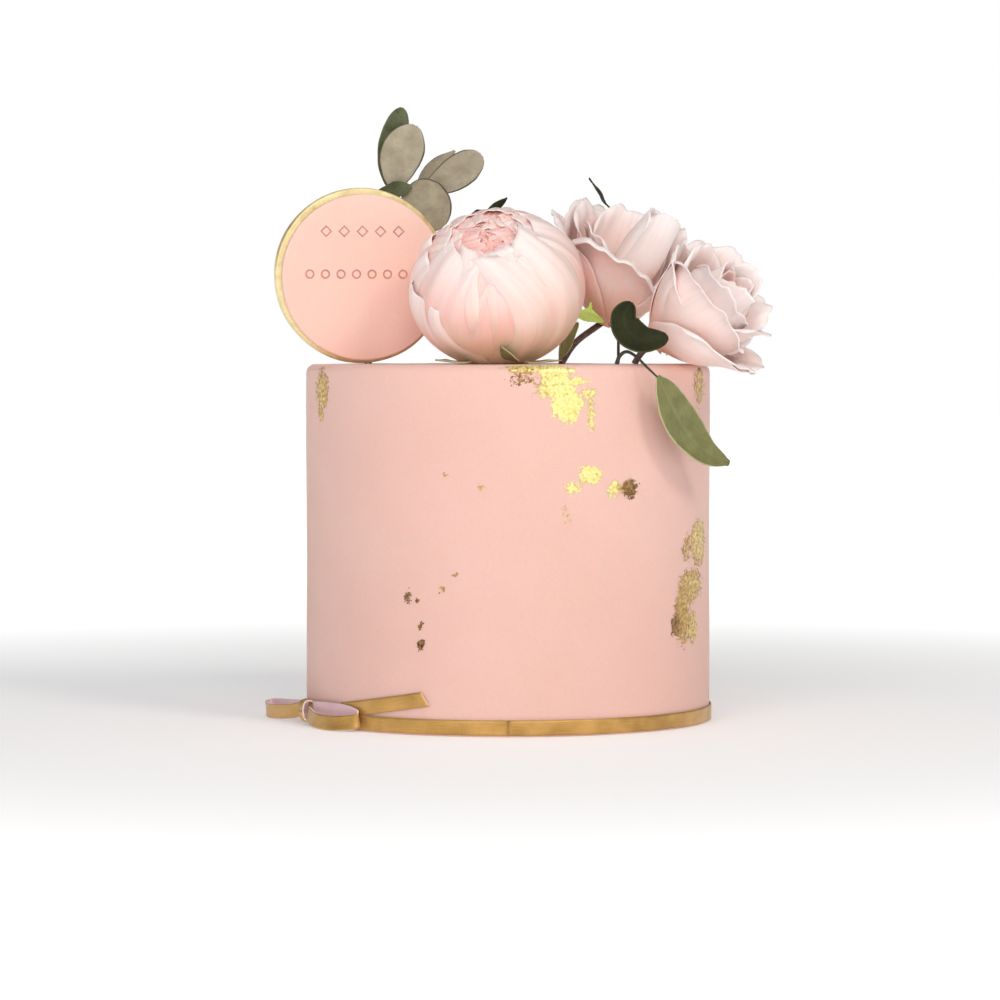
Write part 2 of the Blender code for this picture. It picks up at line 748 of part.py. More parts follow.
def make_greens(collection, olive, lime, brown, dark):
    """The stems and sepals between the peony and the roses."""
    stem("rose_left_stalk", [(27.2, -12, 177.9), (33.5, -3, 186.5), (42, 9, 193.6)],
         3.4 * MM, collection, brown)
    stem("rose_right_stalk", [(62, -34, 177.2), (65.5, -34.5, 182), (69, -35, 185.6)],
         3.4 * MM, collection, brown)
    leaf("sepal_lime", [(40.8, -9, 206), (40.4, -11, 201.5), (39.6, -10, 197)], 15 * MM,
         (0.1, -1, 0.2), collection, lime, widest=0.62, blunt=0.8, wave=0.2 * MM)
    leaf("sepal_long", [(34.4, -9, 196.4), (28.6, -12, 188), (25.4, -15, 177.6)], 7 * MM,
         (0.5, -0.8, 0.2), collection, olive, blunt=0.7, cup=0.4)
    leaf("leaf_spike", [(53.2, 43, 252), (47, 41, 260), (41, 39, 269.4)], 6.5 * MM,
         (0.9, 0.1, 0.45), collection, dark, blunt=0.8, widest=0.6)
    stem("spike_stalk", [(56, 50, 177.2), (56, 52, 215), (53.4, 45, 250)], 1.6 * MM,
         collection, dark)
    for n, (start, mid, tip) in enumerate(
        (
            ((-18, -46, 177.0), (-26, -50, 177.1), (-35, -52, 178.0)),
            ((-6, -51, 177.0), (0, -56, 177.1), (8, -61, 177.8)),
            ((8, -47, 177.0), (16, -49, 177.1), (26, -50, 177.8)),
        )
    ):
        leaf(f"peony_sepal_{n + 1}", [start, mid, tip], 8 * MM, (0, -0.1, 1), collection,
             olive, cup=0.06, wave=0.2 * MM, widest=0.4)


def main():
    clear_scene()
    cake_parts = new_collection("birthday_cake")
    fondant = make_material("fondant", (0.86, 0.56, 0.47), 0.55)
    face = make_material("plaque_fondant", (0.95, 0.60, 0.50), 0.55)
    gold = make_material("gold", (0.78, 0.52, 0.20), 0.35, 1.0)
    petal_material = make_material("petal", (0.93, 0.72, 0.66), 0.6)
    taupe = make_material("taupe_leaf", (0.38, 0.32, 0.25), 0.6)
    dark = make_material("dark_leaf", (0.05, 0.06, 0.03), 0.5)
    olive = make_material("olive_leaf", (0.26, 0.25, 0.11), 0.5)
    lime = make_material("lime_sepal", (0.55, 0.60, 0.15), 0.5)
    brown = make_material("brown_stalk", (0.10, 0.06, 0.05), 0.6)
    make_cake(cake_parts, fondant)
    make_base_ribbon(cake_parts, gold)
    make_bow(cake_parts, gold)
    make_plaque(cake_parts, face, gold)
    make_peony(cake_parts, petal_material)
    make_rose("rose_left", ROSE_LEFT_BASE, ROSE_LEFT_AXIS, ROSE_LEFT_SPIN, 3, ROSE_LEFT_SIZE,
              cake_parts, petal_material)
    make_rose("rose_right", ROSE_RIGHT_BASE, ROSE_RIGHT_AXIS, ROSE_RIGHT_SPIN, 5,
              ROSE_RIGHT_SIZE, cake_parts, petal_material)
    make_hanging_spray(cake_parts, olive, dark)
    make_sprig(cake_parts, taupe, dark, olive)
    make_twig(cake_parts, dark)
    make_greens(cake_parts, olive, lime, brown, dark)


main()
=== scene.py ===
"""The looks of the birthday cake: fondant with gold leaf, ribbon and bow, plaque, peony,
roses and leaves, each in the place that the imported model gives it."""

import math
import random

import bmesh
import bpy
from mathutils import Matrix, Vector, noise


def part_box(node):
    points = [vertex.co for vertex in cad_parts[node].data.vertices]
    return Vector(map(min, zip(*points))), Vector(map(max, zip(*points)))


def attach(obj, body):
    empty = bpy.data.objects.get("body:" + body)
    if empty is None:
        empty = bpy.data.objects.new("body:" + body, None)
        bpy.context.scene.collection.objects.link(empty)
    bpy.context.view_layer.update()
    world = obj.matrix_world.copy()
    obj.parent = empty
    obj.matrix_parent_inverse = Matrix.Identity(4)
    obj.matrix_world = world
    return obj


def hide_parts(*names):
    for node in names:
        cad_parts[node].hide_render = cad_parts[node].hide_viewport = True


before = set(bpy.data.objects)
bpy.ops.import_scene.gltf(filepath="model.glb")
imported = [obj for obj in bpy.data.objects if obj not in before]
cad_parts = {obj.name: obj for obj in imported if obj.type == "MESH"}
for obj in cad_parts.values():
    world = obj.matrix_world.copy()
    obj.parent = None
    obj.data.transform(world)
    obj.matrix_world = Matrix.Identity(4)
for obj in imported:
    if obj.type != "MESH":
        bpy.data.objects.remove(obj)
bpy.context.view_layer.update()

MM = 0.001

# The photograph's camera, and the cake's place in its picture of 1000 x 1000
CAMERA_DISTANCE = 2.0
CAMERA_HEIGHT = 184 * MM
FOCAL_PIXELS = 4035.0
SENSOR_WIDTH = 36.0
PICTURE_SIZE = 1000.0
HORIZON_ROW = 347.5
AXIS_COLUMN = 508.0

LIGHT_DISTANCE = 3.0
LIGHT_TARGET = Vector((0.0, 0.0, 0.15))
FLOOR_SIZE = 12.0
FLOOR_BACK = 3.0

CAKE_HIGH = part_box("cake")[1]
CAKE_RADIUS = CAKE_HIGH.x
CAKE_HEIGHT = CAKE_HIGH.z
CAKE_EDGE = 4.5 * MM
CAKE_FOOT = 0.8 * MM
WALL_TOP = CAKE_HEIGHT - CAKE_EDGE
EDGE_ARC = CAKE_EDGE * math.pi / 2
WALL_UNEVEN = 0.30 * MM
CAKE_STEPS = 288
WALL_ROWS = 60
EDGE_ROWS = 14
TOP_ROWS = 26

RIBBON_LOW, RIBBON_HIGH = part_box("base_ribbon")
RIBBON_WIDTH = RIBBON_HIGH.z - RIBBON_LOW.z
RIBBON_THICKNESS = 0.45 * MM
BOW_THICKNESS = 0.8 * MM
GOLD_LEAF_THICKNESS = 0.05 * MM
FEWEST_FACES = 6
BAND_STEPS = 360
BAND_COLUMNS = 7
LOOP_COLUMNS = 9
KNOT_TURN = math.radians(-68.5)
KNOT_STEPS = 48
KNOT_COLUMNS = 13

PLAQUE_RADIUS = 43.4 * MM
PLAQUE_BACK_THICKNESS = 4.6 * MM
PLAQUE_FACE_RADIUS = 41.1 * MM
PLAQUE_FACE_SHIFT = Vector((0.7, -0.9, 0.0)) * MM
PLAQUE_FACE_THICKNESS = 3.2 * MM
PLAQUE_TURN = math.radians(12)
PLAQUE_PLACE = Vector((-73.0, 6.0, 0.0)) * MM
PLAQUE_STEPS = 240
PLAQUE_EDGE_STEPS = 8
MARK_WIDTH = 0.95 * MM
MARK_DEPTH = 0.7 * MM
GAP = 0.3 * MM

PEONY_X = -5.0 * MM
PEONY_Y = -28.0 * MM
PEONY_RADIUS = 41.5 * MM
PEONY_HEIGHT = 75.8 * MM
PEONY_BEND = math.radians(50)
PEONY_TURN = math.radians(-8)
PEONY_LEAN = math.radians(-12)
HEART_ROWS = 24
HEART_STEPS = 48

ROSE_LEFT_BASE = Vector((46.8, 14.0, 196.3)) * MM
ROSE_LEFT_AXIS = Vector((0.36, -0.16, 0.92))
ROSE_RIGHT_BASE = Vector((72.5, -38.0, 186.5)) * MM
ROSE_RIGHT_AXIS = Vector((0.72, -0.42, 0.55))

PETAL_THICKNESS = 0.45 * MM
LEAF_THICKNESS = 0.6 * MM
LEAF_ROWS = 40
LEAF_COLUMNS = 17
STEM_STEPS = 40
STEM_SIDES = 14


def around(turn, reach, z=0.0):
    """A point at a distance from the cake's axis. Turn 0 (radians) is the front, and a
    positive turn the right."""
    return Vector((reach * math.sin(turn), -reach * math.cos(turn), z))


# Camera, light and floor


def make_camera():
    """The photograph's camera, turned so that the horizon and the cake's axis are where they
    are in its picture."""
    data = bpy.data.cameras.new("camera")
    data.sensor_width = SENSOR_WIDTH
    data.lens = SENSOR_WIDTH * FOCAL_PIXELS / PICTURE_SIZE
    camera = bpy.data.objects.new("camera", data)
    bpy.context.scene.collection.objects.link(camera)
    pitch = math.atan((PICTURE_SIZE / 2 - HORIZON_ROW) / FOCAL_PIXELS)
    yaw = math.atan((AXIS_COLUMN - PICTURE_SIZE / 2) / FOCAL_PIXELS)
    camera.location = (0.0, -CAMERA_DISTANCE, CAMERA_HEIGHT)
    camera.rotation_euler = (math.pi / 2 - pitch, 0.0, yaw)
    bpy.context.scene.camera = camera


def area_light(name, azimuth, elevation, size, power, colour):
    """A square light that looks at the cake. Azimuth 0 is the front, 90 the right."""
    data = bpy.data.lights.new(name, "AREA")
    data.size = size
    data.energy = power
    data.color = colour
    light = bpy.data.objects.new(name, data)
    bpy.context.scene.collection.objects.link(light)
    rise = math.radians(elevation)
    way = around(math.radians(azimuth), math.cos(rise), math.sin(rise))
    light.location = LIGHT_TARGET + way * LIGHT_DISTANCE
    light.rotation_euler = way.to_track_quat("Z", "Y").to_euler()


def fill_ramp(ramp, stops):
    """Puts stops, each (position, colour), on a colour ramp."""
    while len(ramp.elements) < len(stops):
        ramp.elements.new(0.5)
    for element, (position, colour) in zip(ramp.elements, stops):
        element.position = position
        element.color = colour


def make_world():
    """A studio whose walls are bright low down and dim above, with a white back and a pale
    ceiling."""
    world = bpy.data.worlds.new("studio")
    bpy.context.scene.world = world
    world.use_nodes = True
    tree = world.node_tree
    place = tree.nodes.new("ShaderNodeTexCoord")
    parts = tree.nodes.new("ShaderNodeSeparateXYZ")
    tree.links.new(place.outputs["Generated"], parts.inputs[0])
    walls = ((0.10, 0.97), (0.20, 0.06), (0.66, 0.06), (0.92, 0.70))
    back = ((0.90, 0.06), (0.97, 1.0))
    ramps = []
    for side, stops in (("Z", walls), ("Y", back)):
        ramp = tree.nodes.new("ShaderNodeValToRGB")
        tree.links.new(parts.outputs[side], ramp.inputs[0])
        fill_ramp(ramp.color_ramp, [(at, (level, level, level, 1)) for at, level in stops])
        ramps.append(ramp.outputs[0])
    both = tree.nodes.new("ShaderNodeMix")
    both.data_type, both.blend_type = "RGBA", "LIGHTEN"
    both.inputs[0].default_value = 1.0
    tree.links.new(ramps[0], both.inputs[6])
    tree.links.new(ramps[1], both.inputs[7])
    tree.links.new(both.outputs[2], tree.nodes["Background"].inputs["Color"])


def make_floor():
    """A pale floor that glows with painted light, weak near the cake and strong away from it, so that
    it fades to white.
    """
    bpy.ops.mesh.primitive_plane_add(size=FLOOR_SIZE, location=(0, FLOOR_BACK, 0))
    floor = bpy.context.object
    floor.name = "floor"
    graph = Graph("floor", Roughness=0.8)
    graph.colour((0.90, 0.90, 0.91, 1))
    position = graph.add("NewGeometry", {}).outputs["Position"]
    reach = graph.add("VectorMath", {0: position}, operation="LENGTH").outputs["Value"]
    # The floor is no lamp: its emission is painted light, dimmer near the cake.
    floor_glow = graph.spread(reach, 0.10, 1.3, 0.23, 0.85, "SMOOTHERSTEP")
    graph.shader.inputs["Emission Color"].default_value = (1, 1, 1, 1)
    graph.feed(graph.shader.inputs["Emission Strength"], floor_glow)
    floor.data.materials.append(graph.material)


def make_stage():
    make_world()
    area_light("key", 40, 36, 0.7, 20, (1.0, 0.955, 0.88))
    area_light("fill", -8, 28, 2.2, 38.5, (1.0, 0.99, 0.98))
    make_floor()
    settings = bpy.context.scene.view_settings
    settings.view_transform = "Standard"
    settings.look = "None"


# Materials


class Graph:
    """One material's node tree, with short ways to add nodes to it."""

    def __init__(self, name, **sockets):
        self.material = bpy.data.materials.new(name)
        self.material.use_nodes = True
        self.tree = self.material.node_tree
        self.shader = self.tree.nodes["Principled BSDF"]
        for socket, value in sockets.items():
            self.shader.inputs[socket.replace("_", " ")].default_value = value

    def feed(self, socket, value):
        if isinstance(value, bpy.types.NodeSocket):
            self.tree.links.new(value, socket)
        else:
            socket.default_value = value

    def add(self, kind, inputs, **settings):
        made = self.tree.nodes.new("ShaderNode" + kind)
        for key, value in settings.items():
            setattr(made, key, value)
        for key, value in inputs.items():
            self.feed(made.inputs[key], value)
        return made

    def place(self):
        """The point in metres: every piece's object stands at the origin."""
        return self.add("TexCoord", {}).outputs["Object"]

    def uv(self, across=1.0, along=1.0, shift=None):
        """The piece's own map, stretched: across its width, and along its length."""
        found = self.add("UVMap", {}, uv_map="sheet").outputs[0]
        inputs = {0: found, 1: (across, along, 1.0)}
        scaled = self.add("VectorMath", inputs, operation="MULTIPLY").outputs[0]
        if shift is None:
            return scaled
        offset = self.add("CombineXYZ", {2: self.math("MULTIPLY", shift, 37.0)}).outputs[0]
        return self.add("VectorMath", {0: scaled, 1: offset}, operation="ADD").outputs[0]

    def sheet(self, axis):
        """The share of the way across (X) or along (Y) the piece."""
        found = self.add("UVMap", {}, uv_map="sheet").outputs[0]
        return self.add("SeparateXYZ", {0: found}).outputs[axis]

    def attribute(self, name):
        return self.add("Attribute", {}, attribute_name=name).outputs["Fac"]

    def noise(self, vector, scale, detail=3.0, roughness=0.5):
        inputs = {"Vector": vector, "Scale": scale, "Detail": detail, "Roughness": roughness}
        return self.add("TexNoise", inputs).outputs[0]

    def math(self, operation, a, b=0.0, clamp=False):
        return self.add("Math", {0: a, 1: b}, operation=operation, use_clamp=clamp).outputs[0]

    def sum(self, a, share, b, rest):
        """a times its share, and b times the rest."""
        return self.math("ADD", self.math("MULTIPLY", a, share), self.math("MULTIPLY", b, rest))

    def spread(self, value, low, high, out_low=0.0, out_high=1.0, kind="LINEAR"):
        """The value's range from low to high, stretched to a new range and held to it."""
        inputs = {"Value": value, "From Min": low, "From Max": high}
        inputs |= {"To Min": out_low, "To Max": out_high}
        return self.add("MapRange", inputs, interpolation_type=kind).outputs[0]

    def mix(self, factor, a, b, blend="MIX"):
        made = self.add("Mix", {0: factor}, data_type="RGBA", blend_type=blend)
        self.feed(made.inputs[6], a)
        self.feed(made.inputs[7], b)
        return made.outputs[2]

    def ramp(self, factor, stops):
        made = self.add("ValToRGB", {0: factor})
        fill_ramp(made.color_ramp, stops)
        return made.outputs[0]

    def colour(self, value):
        self.feed(self.shader.inputs["Base Color"], value)

    def roughness(self, value):
        self.feed(self.shader.inputs["Roughness"], value)

    def bump(self, height, distance, strength=1.0, under=None):
        inputs = {"Height": height, "Distance": distance, "Strength": strength}
        if under is not None:
            inputs["Normal"] = under
        found = self.add("Bump", inputs).outputs[0]
        self.feed(self.shader.inputs["Normal"], found)
        return found


def fondant_material(name, light, deep, groove_shade):
    """Rolled sugar paste: powdery, a little translucent, with faint smoothing marks. Where its tone is
    1 it is pressed in, and the last colour there is painted shade in the groove."""
    graph = Graph(name, Roughness=0.52, Subsurface_Weight=0.25, Subsurface_Scale=0.004,
                  Subsurface_Radius=(1.0, 0.45, 0.30), Specular_IOR_Level=0.12)
    place = graph.place()
    cloud = graph.spread(graph.noise(place, 14.0, 4.0, 0.55), 0.34, 0.66)
    # Where the plaque's marks are pressed in, the colour turns to painted shade.
    base = graph.mix(graph.attribute("tone"), graph.mix(cloud, light, deep), groove_shade)
    powder = graph.spread(graph.noise(place, 900.0, 3.0, 0.6), 0.3, 0.7, 0.975, 1.02)
    tinted = graph.add("VectorMath", {0: base, 1: powder}, operation="MULTIPLY").outputs[0]
    graph.colour(tinted)
    graph.roughness(graph.spread(graph.noise(place, 40.0), 0.3, 0.7, 0.46, 0.60))
    smoothing = graph.bump(graph.noise(place, 26.0, 2.0, 0.4), 0.9 * MM, 0.25)
    graph.bump(graph.noise(place, 1400.0, 2.0, 0.5), 0.05 * MM, 0.6, smoothing)
    return graph.material


def ribbon_material(name, colour, dark, roughness, metallic):
    """Satin ribbon: fine threads along its length, crossed by a finer weft."""
    graph = Graph(name, Roughness=roughness, Metallic=metallic, Sheen_Weight=0.2)
    threads = graph.noise(graph.uv(5200.0, 90.0), 1.0, 2.0, 0.6)
    weft = graph.noise(graph.uv(300.0, 4200.0), 1.0, 2.0, 0.6)
    cloth = graph.sum(threads, 0.6, weft, 0.4)
    slow = graph.spread(graph.noise(graph.place(), 60.0, 2.0), 0.3, 0.7)
    tone = graph.sum(cloth, 0.7, slow, 0.3)
    graph.colour(graph.mix(graph.spread(tone, 0.35, 0.65), dark, colour))
    graph.bump(cloth, 0.06 * MM, 0.8)
    return graph.material


def gold_paint_material():
    """Edible gold brushed on: streaks of thicker and thinner paint."""
    graph = Graph("gold_paint", Roughness=0.40, Metallic=0.45)
    place = graph.place()
    strokes = graph.noise(place, 260.0, 4.0, 0.65)
    patches = graph.noise(place, 55.0, 3.0, 0.5)
    dull, middling, bright = (0.60, 0.46, 0.20, 1), (0.84, 0.70, 0.38, 1), (0.95, 0.88, 0.62, 1)
    tone = graph.sum(strokes, 0.5, patches, 0.5)
    graph.colour(graph.ramp(tone, ((0.30, dull), (0.52, middling), (0.72, bright))))
    graph.roughness(graph.spread(strokes, 0.3, 0.7, 0.30, 0.52))
    graph.bump(strokes, 0.12 * MM, 0.5)
    return graph.material


def gold_leaf_material():
    """Torn gold leaf, bright where its tone is 0 and a dull bronze where it is 1."""
    graph = Graph("gold_leaf", Roughness=0.32, Metallic=0.55)
    place = graph.place()
    tone = graph.attribute("tone")
    crinkle = graph.noise(place, 520.0, 4.0, 0.65)
    bright = graph.ramp(crinkle, ((0.30, (0.95, 0.74, 0.22, 1)), (0.52, (1.0, 0.90, 0.36, 1))))
    olive = graph.ramp(crinkle, ((0.38, (0.34, 0.18, 0.045, 1)), (0.66, (0.70, 0.44, 0.14, 1))))
    bronze = graph.ramp(crinkle, ((0.38, (0.09, 0.03, 0.02, 1)), (0.66, (0.42, 0.24, 0.08, 1))))
    dull = graph.mix(graph.spread(tone, 0.1, 0.55), bright, olive)
    graph.colour(graph.mix(graph.spread(tone, 0.6, 0.95), dull, bronze))
    graph.roughness(graph.spread(crinkle, 0.3, 0.7, 0.24, 0.45))
    graph.bump(crinkle, 0.08 * MM, 0.5)
    return graph.material


def petal_material(name, foot, blush, pale, rim, fleck, rim_from):
    """A thin petal, its colour running from its foot to its rim, with fine veins, and a few
    flecks where it is most blushed."""
    graph = Graph(name, Roughness=0.5, Subsurface_Weight=0.2, Subsurface_Scale=0.0012,
                  Subsurface_Radius=(1.0, 0.86, 0.8), Sheen_Weight=0.1, Specular_IOR_Level=0.25)
    tone = graph.attribute("tone")
    along = graph.sheet("Y")
    veins = graph.noise(graph.uv(34.0, 1.6, tone), 1.0, 4.0, 0.6)
    blotch = graph.noise(graph.uv(3.0, 3.0, tone), 1.0, 3.0, 0.5)
    hue = graph.math("ADD", tone, graph.spread(blotch, 0.3, 0.7, -0.35, 0.35), clamp=True)
    middle = graph.mix(hue, pale, blush)
    wander = graph.spread(veins, 0.3, 0.7, -0.10, 0.10)
    lower = graph.mix(graph.spread(graph.math("ADD", along, wander), 0.18, 0.60), foot, middle)
    ragged = graph.spread(blotch, 0.3, 0.7, -0.05, 0.05)
    outer = graph.spread(graph.math("ADD", along, ragged), rim_from, 1.0, 0.0, 0.85)
    edge = graph.math("MULTIPLY", outer, graph.spread(tone, 0.7, 1.15, 1.0, 0.45))
    full = graph.mix(edge, lower, rim)
    speck = graph.spread(graph.noise(graph.place(), 420.0, 2.0, 0.5), 0.64, 0.70)
    deepest = graph.math("MULTIPLY", speck, graph.spread(tone, 0.75, 1.0))
    flecked = graph.mix(deepest, full, fleck)
    streak = graph.spread(veins, 0.48, 0.70, 0.0, 0.6)
    streaks = graph.math("MULTIPLY", streak, graph.spread(hue, 0.0, 1.0, 0.3, 1.0))
    graph.colour(graph.mix(streaks, flecked, blush))
    graph.bump(veins, 0.16 * MM, 0.5)
    return graph.material


def leaf_material(name, light, dark, rib, edge_colour_and_shade, veined, roughness, coat):
    """A leaf that is blotched a little. rib is the colour of its veins, which show as much as veined
    says, and the colour after it is that of its edge, which on the taupe leaves is dark painted shade."""
    graph = Graph(name, Roughness=roughness, Subsurface_Weight=0.1, Subsurface_Scale=0.001,
                  Specular_IOR_Level=0.15, Coat_Weight=coat, Coat_Roughness=0.35)
    blotch = graph.noise(graph.place(), 120.0, 4.0, 0.6)
    fine = graph.noise(graph.place(), 1500.0, 2.0, 0.5)
    tone = graph.sum(blotch, 0.75, fine, 0.25)
    base = graph.mix(graph.spread(tone, 0.36, 0.62), dark, light)
    vein = graph.math("MULTIPLY", graph.attribute("vein"), veined)
    ribbed = graph.mix(vein, base, rib)
    off_middle = graph.math("ABSOLUTE", graph.math("SUBTRACT", graph.sheet("X"), 0.5))
    ragged = graph.spread(blotch, 0.3, 0.7, -0.012, 0.012)
    # A thin strip at both margins takes the edge colour; on the taupe leaves it is painted shade.
    edge = graph.spread(graph.math("ADD", off_middle, ragged), 0.460, 0.490)
    graph.colour(graph.mix(edge, ribbed, edge_colour_and_shade))
    graph.bump(graph.sum(vein, 0.6, fine, 0.2), 0.2 * MM, 0.7)
    return graph.material


def stalk_material(name, light, dark):
    """Dull bark, streaked along the stalk."""
    graph = Graph(name, Roughness=0.6)
    streak = graph.noise(graph.uv(9.0, 900.0), 1.0, 3.0, 0.6)
    speck = graph.noise(graph.place(), 500.0, 3.0, 0.6)
    tone = graph.sum(streak, 0.5, speck, 0.5)
    graph.colour(graph.mix(graph.spread(tone, 0.38, 0.62), dark, light))
    graph.bump(tone, 0.2 * MM, 0.7)
    return graph.material


# Meshes


def finish_piece(piece, slot, *nodes):
    """Puts a piece on the one body and lets it stand for CAD nodes. Its slot is not used."""
    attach(piece, "root")
    if nodes:
        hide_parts(*nodes)
    return piece


def apply_modifiers(obj):
    bpy.context.view_layer.update()
    graph = bpy.context.evaluated_depsgraph_get()
    mesh = bpy.data.meshes.new_from_object(obj.evaluated_get(graph))
    old = obj.data
    obj.modifiers.clear()
    obj.data = mesh
    bpy.data.meshes.remove(old)


def mesh_object(name, points, faces, material, smooth=True):
    mesh = bpy.data.meshes.new(name)
    mesh.from_pydata([tuple(p) for p in points], [], faces)
    mesh.update()
    if smooth:
        mesh.shade_smooth()
    made = bpy.data.objects.new(name, mesh)
    bpy.context.scene.collection.objects.link(made)
    if material:
        mesh.materials.append(material)
    return made


def set_values(obj, name, values):
    """Gives each point a number, which the materials read by its name."""
    layer = obj.data.attributes.new(name, "FLOAT", "POINT")
    layer.data.foreach_set("value", values)


def set_map(obj, places):
    """Gives each point its place across and along the piece, for the materials."""
    layer = obj.data.uv_layers.new(name="sheet")
    for loop in obj.data.loops:
        layer.data[loop.index].uv = places[loop.vertex_index]


def thicken(obj, thickness):
    """Turns sheets into thin closed solids. A second material goes on their backs, and a
    third on their cut edges."""
    shell = obj.modifiers.new("Thickness", "SOLIDIFY")
    shell.thickness = thickness
    shell.offset = 0.0
    count = len(obj.data.materials)
    shell.material_offset = min(count - 1, 1)
    shell.material_offset_rim = 2 if count > 2 else 0
    apply_modifiers(obj)


def sheets_object(name, sheets, thickness, materials, value_name="tone"):
    """Joins sheets, each a grid of (point, across, along, value), into one object of thin
    closed solids. The map and the value go with the points to the material."""
    points, faces, places, values = [], [], [], []
    for grid in sheets:
        first = len(points)
        rows, columns = len(grid), len(grid[0])
        for row in grid:
            for point, across, along, value in row:
                points.append(point)
                places.append((across, along))
                values.append(value)
        for i in range(rows - 1):
            for j in range(columns - 1):
                a = first + i * columns + j
                faces.append((a, a + 1, a + columns + 1, a + columns))
    made = mesh_object(name, points, faces, materials[0])
    for extra in materials[1:]:
        made.data.materials.append(extra)
    set_map(made, places)
    set_values(made, value_name, values)
    thicken(made, thickness)
    return made


def smooth_path(points, count):
    """Points along a Catmull-Rom curve through the given ones."""
    knots = [Vector(p) for p in points]
    ends = [2 * knots[0] - knots[1], *knots, 2 * knots[-1] - knots[-2]]
    spans = len(knots) - 1
    found = []
    for i in range(count + 1):
        place = i * spans / count
        k = min(int(place), spans - 1)
        u = place - k
        a, b, c, d = ends[k : k + 4]
        bend = 2 * a - 5 * b + 4 * c - d
        twist = 3 * b - a - 3 * c + d
        found.append(0.5 * (2 * b + (c - a) * u + bend * u * u + twist * u ** 3))
    return found


# The cake


def cake_profile(v):
    """Distance from the axis, height and outward slope at a length v up the surface,
    measured from the foot over the wall and the rounded edge to the top."""
    if v <= WALL_TOP:
        return CAKE_RADIUS, v, 0.0
    bend = (v - WALL_TOP) / CAKE_EDGE
    if bend < math.pi / 2:
        r = CAKE_RADIUS - CAKE_EDGE * (1 - math.cos(bend))
        return r, WALL_TOP + CAKE_EDGE * math.sin(bend), bend
    return CAKE_RADIUS - CAKE_EDGE - (v - WALL_TOP - EDGE_ARC), CAKE_HEIGHT, math.pi / 2


def cake_point(turn, v, lift=0.0):
    """A point on the cake's surface. Turn 0 (radians) is the front, positive the right."""
    r, z, slope = cake_profile(v)
    flow = Vector((math.sin(turn) * 2.2, -math.cos(turn) * 2.2, z * 18))
    lift += WALL_UNEVEN * (noise.noise(flow) - 0.4) + 0.05 * MM * noise.noise(flow * 5)
    r += lift * math.cos(slope)
    z += lift * math.sin(slope)
    return around(turn, r, z)


def make_cake():
    """One closed skin: the underside, the wall, the rounded edge and the top."""
    heights = [
        CAKE_FOOT + (WALL_TOP - CAKE_FOOT) * i / WALL_ROWS for i in range(WALL_ROWS + 1)
    ]
    heights += [WALL_TOP + EDGE_ARC * i / EDGE_ROWS for i in range(1, EDGE_ROWS + 1)]
    inward = (CAKE_RADIUS - CAKE_EDGE) / TOP_ROWS
    heights += [WALL_TOP + EDGE_ARC + inward * i for i in range(1, TOP_ROWS)]
    turns = [2 * math.pi * i / CAKE_STEPS for i in range(CAKE_STEPS)]
    rows = [[around(a, CAKE_RADIUS - CAKE_FOOT) for a in turns]]
    rows += [[cake_point(a, v) for a in turns] for v in heights]
    points = [Vector((0, 0, 0))] + [p for row in rows for p in row]
    points.append(Vector((0, 0, sum(p.z for p in rows[-1]) / CAKE_STEPS)))
    last = len(points) - 1
    faces = []
    for k in range(CAKE_STEPS):
        n = (k + 1) % CAKE_STEPS
        faces.append((0, 1 + n, 1 + k))
        for i in range(len(rows) - 1):
            a = 1 + i * CAKE_STEPS
            b = a + CAKE_STEPS
            faces.append((a + k, a + n, b + n, b + k))
        top = 1 + (len(rows) - 1) * CAKE_STEPS
        faces.append((top + k, top + n, last))
    light, deep = (0.870, 0.573, 0.503, 1), (0.845, 0.538, 0.466, 1)
    material = fondant_material("fondant", light, deep, deep)
    cake = mesh_object("cake_fondant", points, faces, material)
    cake.data.set_sharp_from_angle(angle=math.radians(60))
    finish_piece(cake, "fondant", "cake")


# Gold leaf


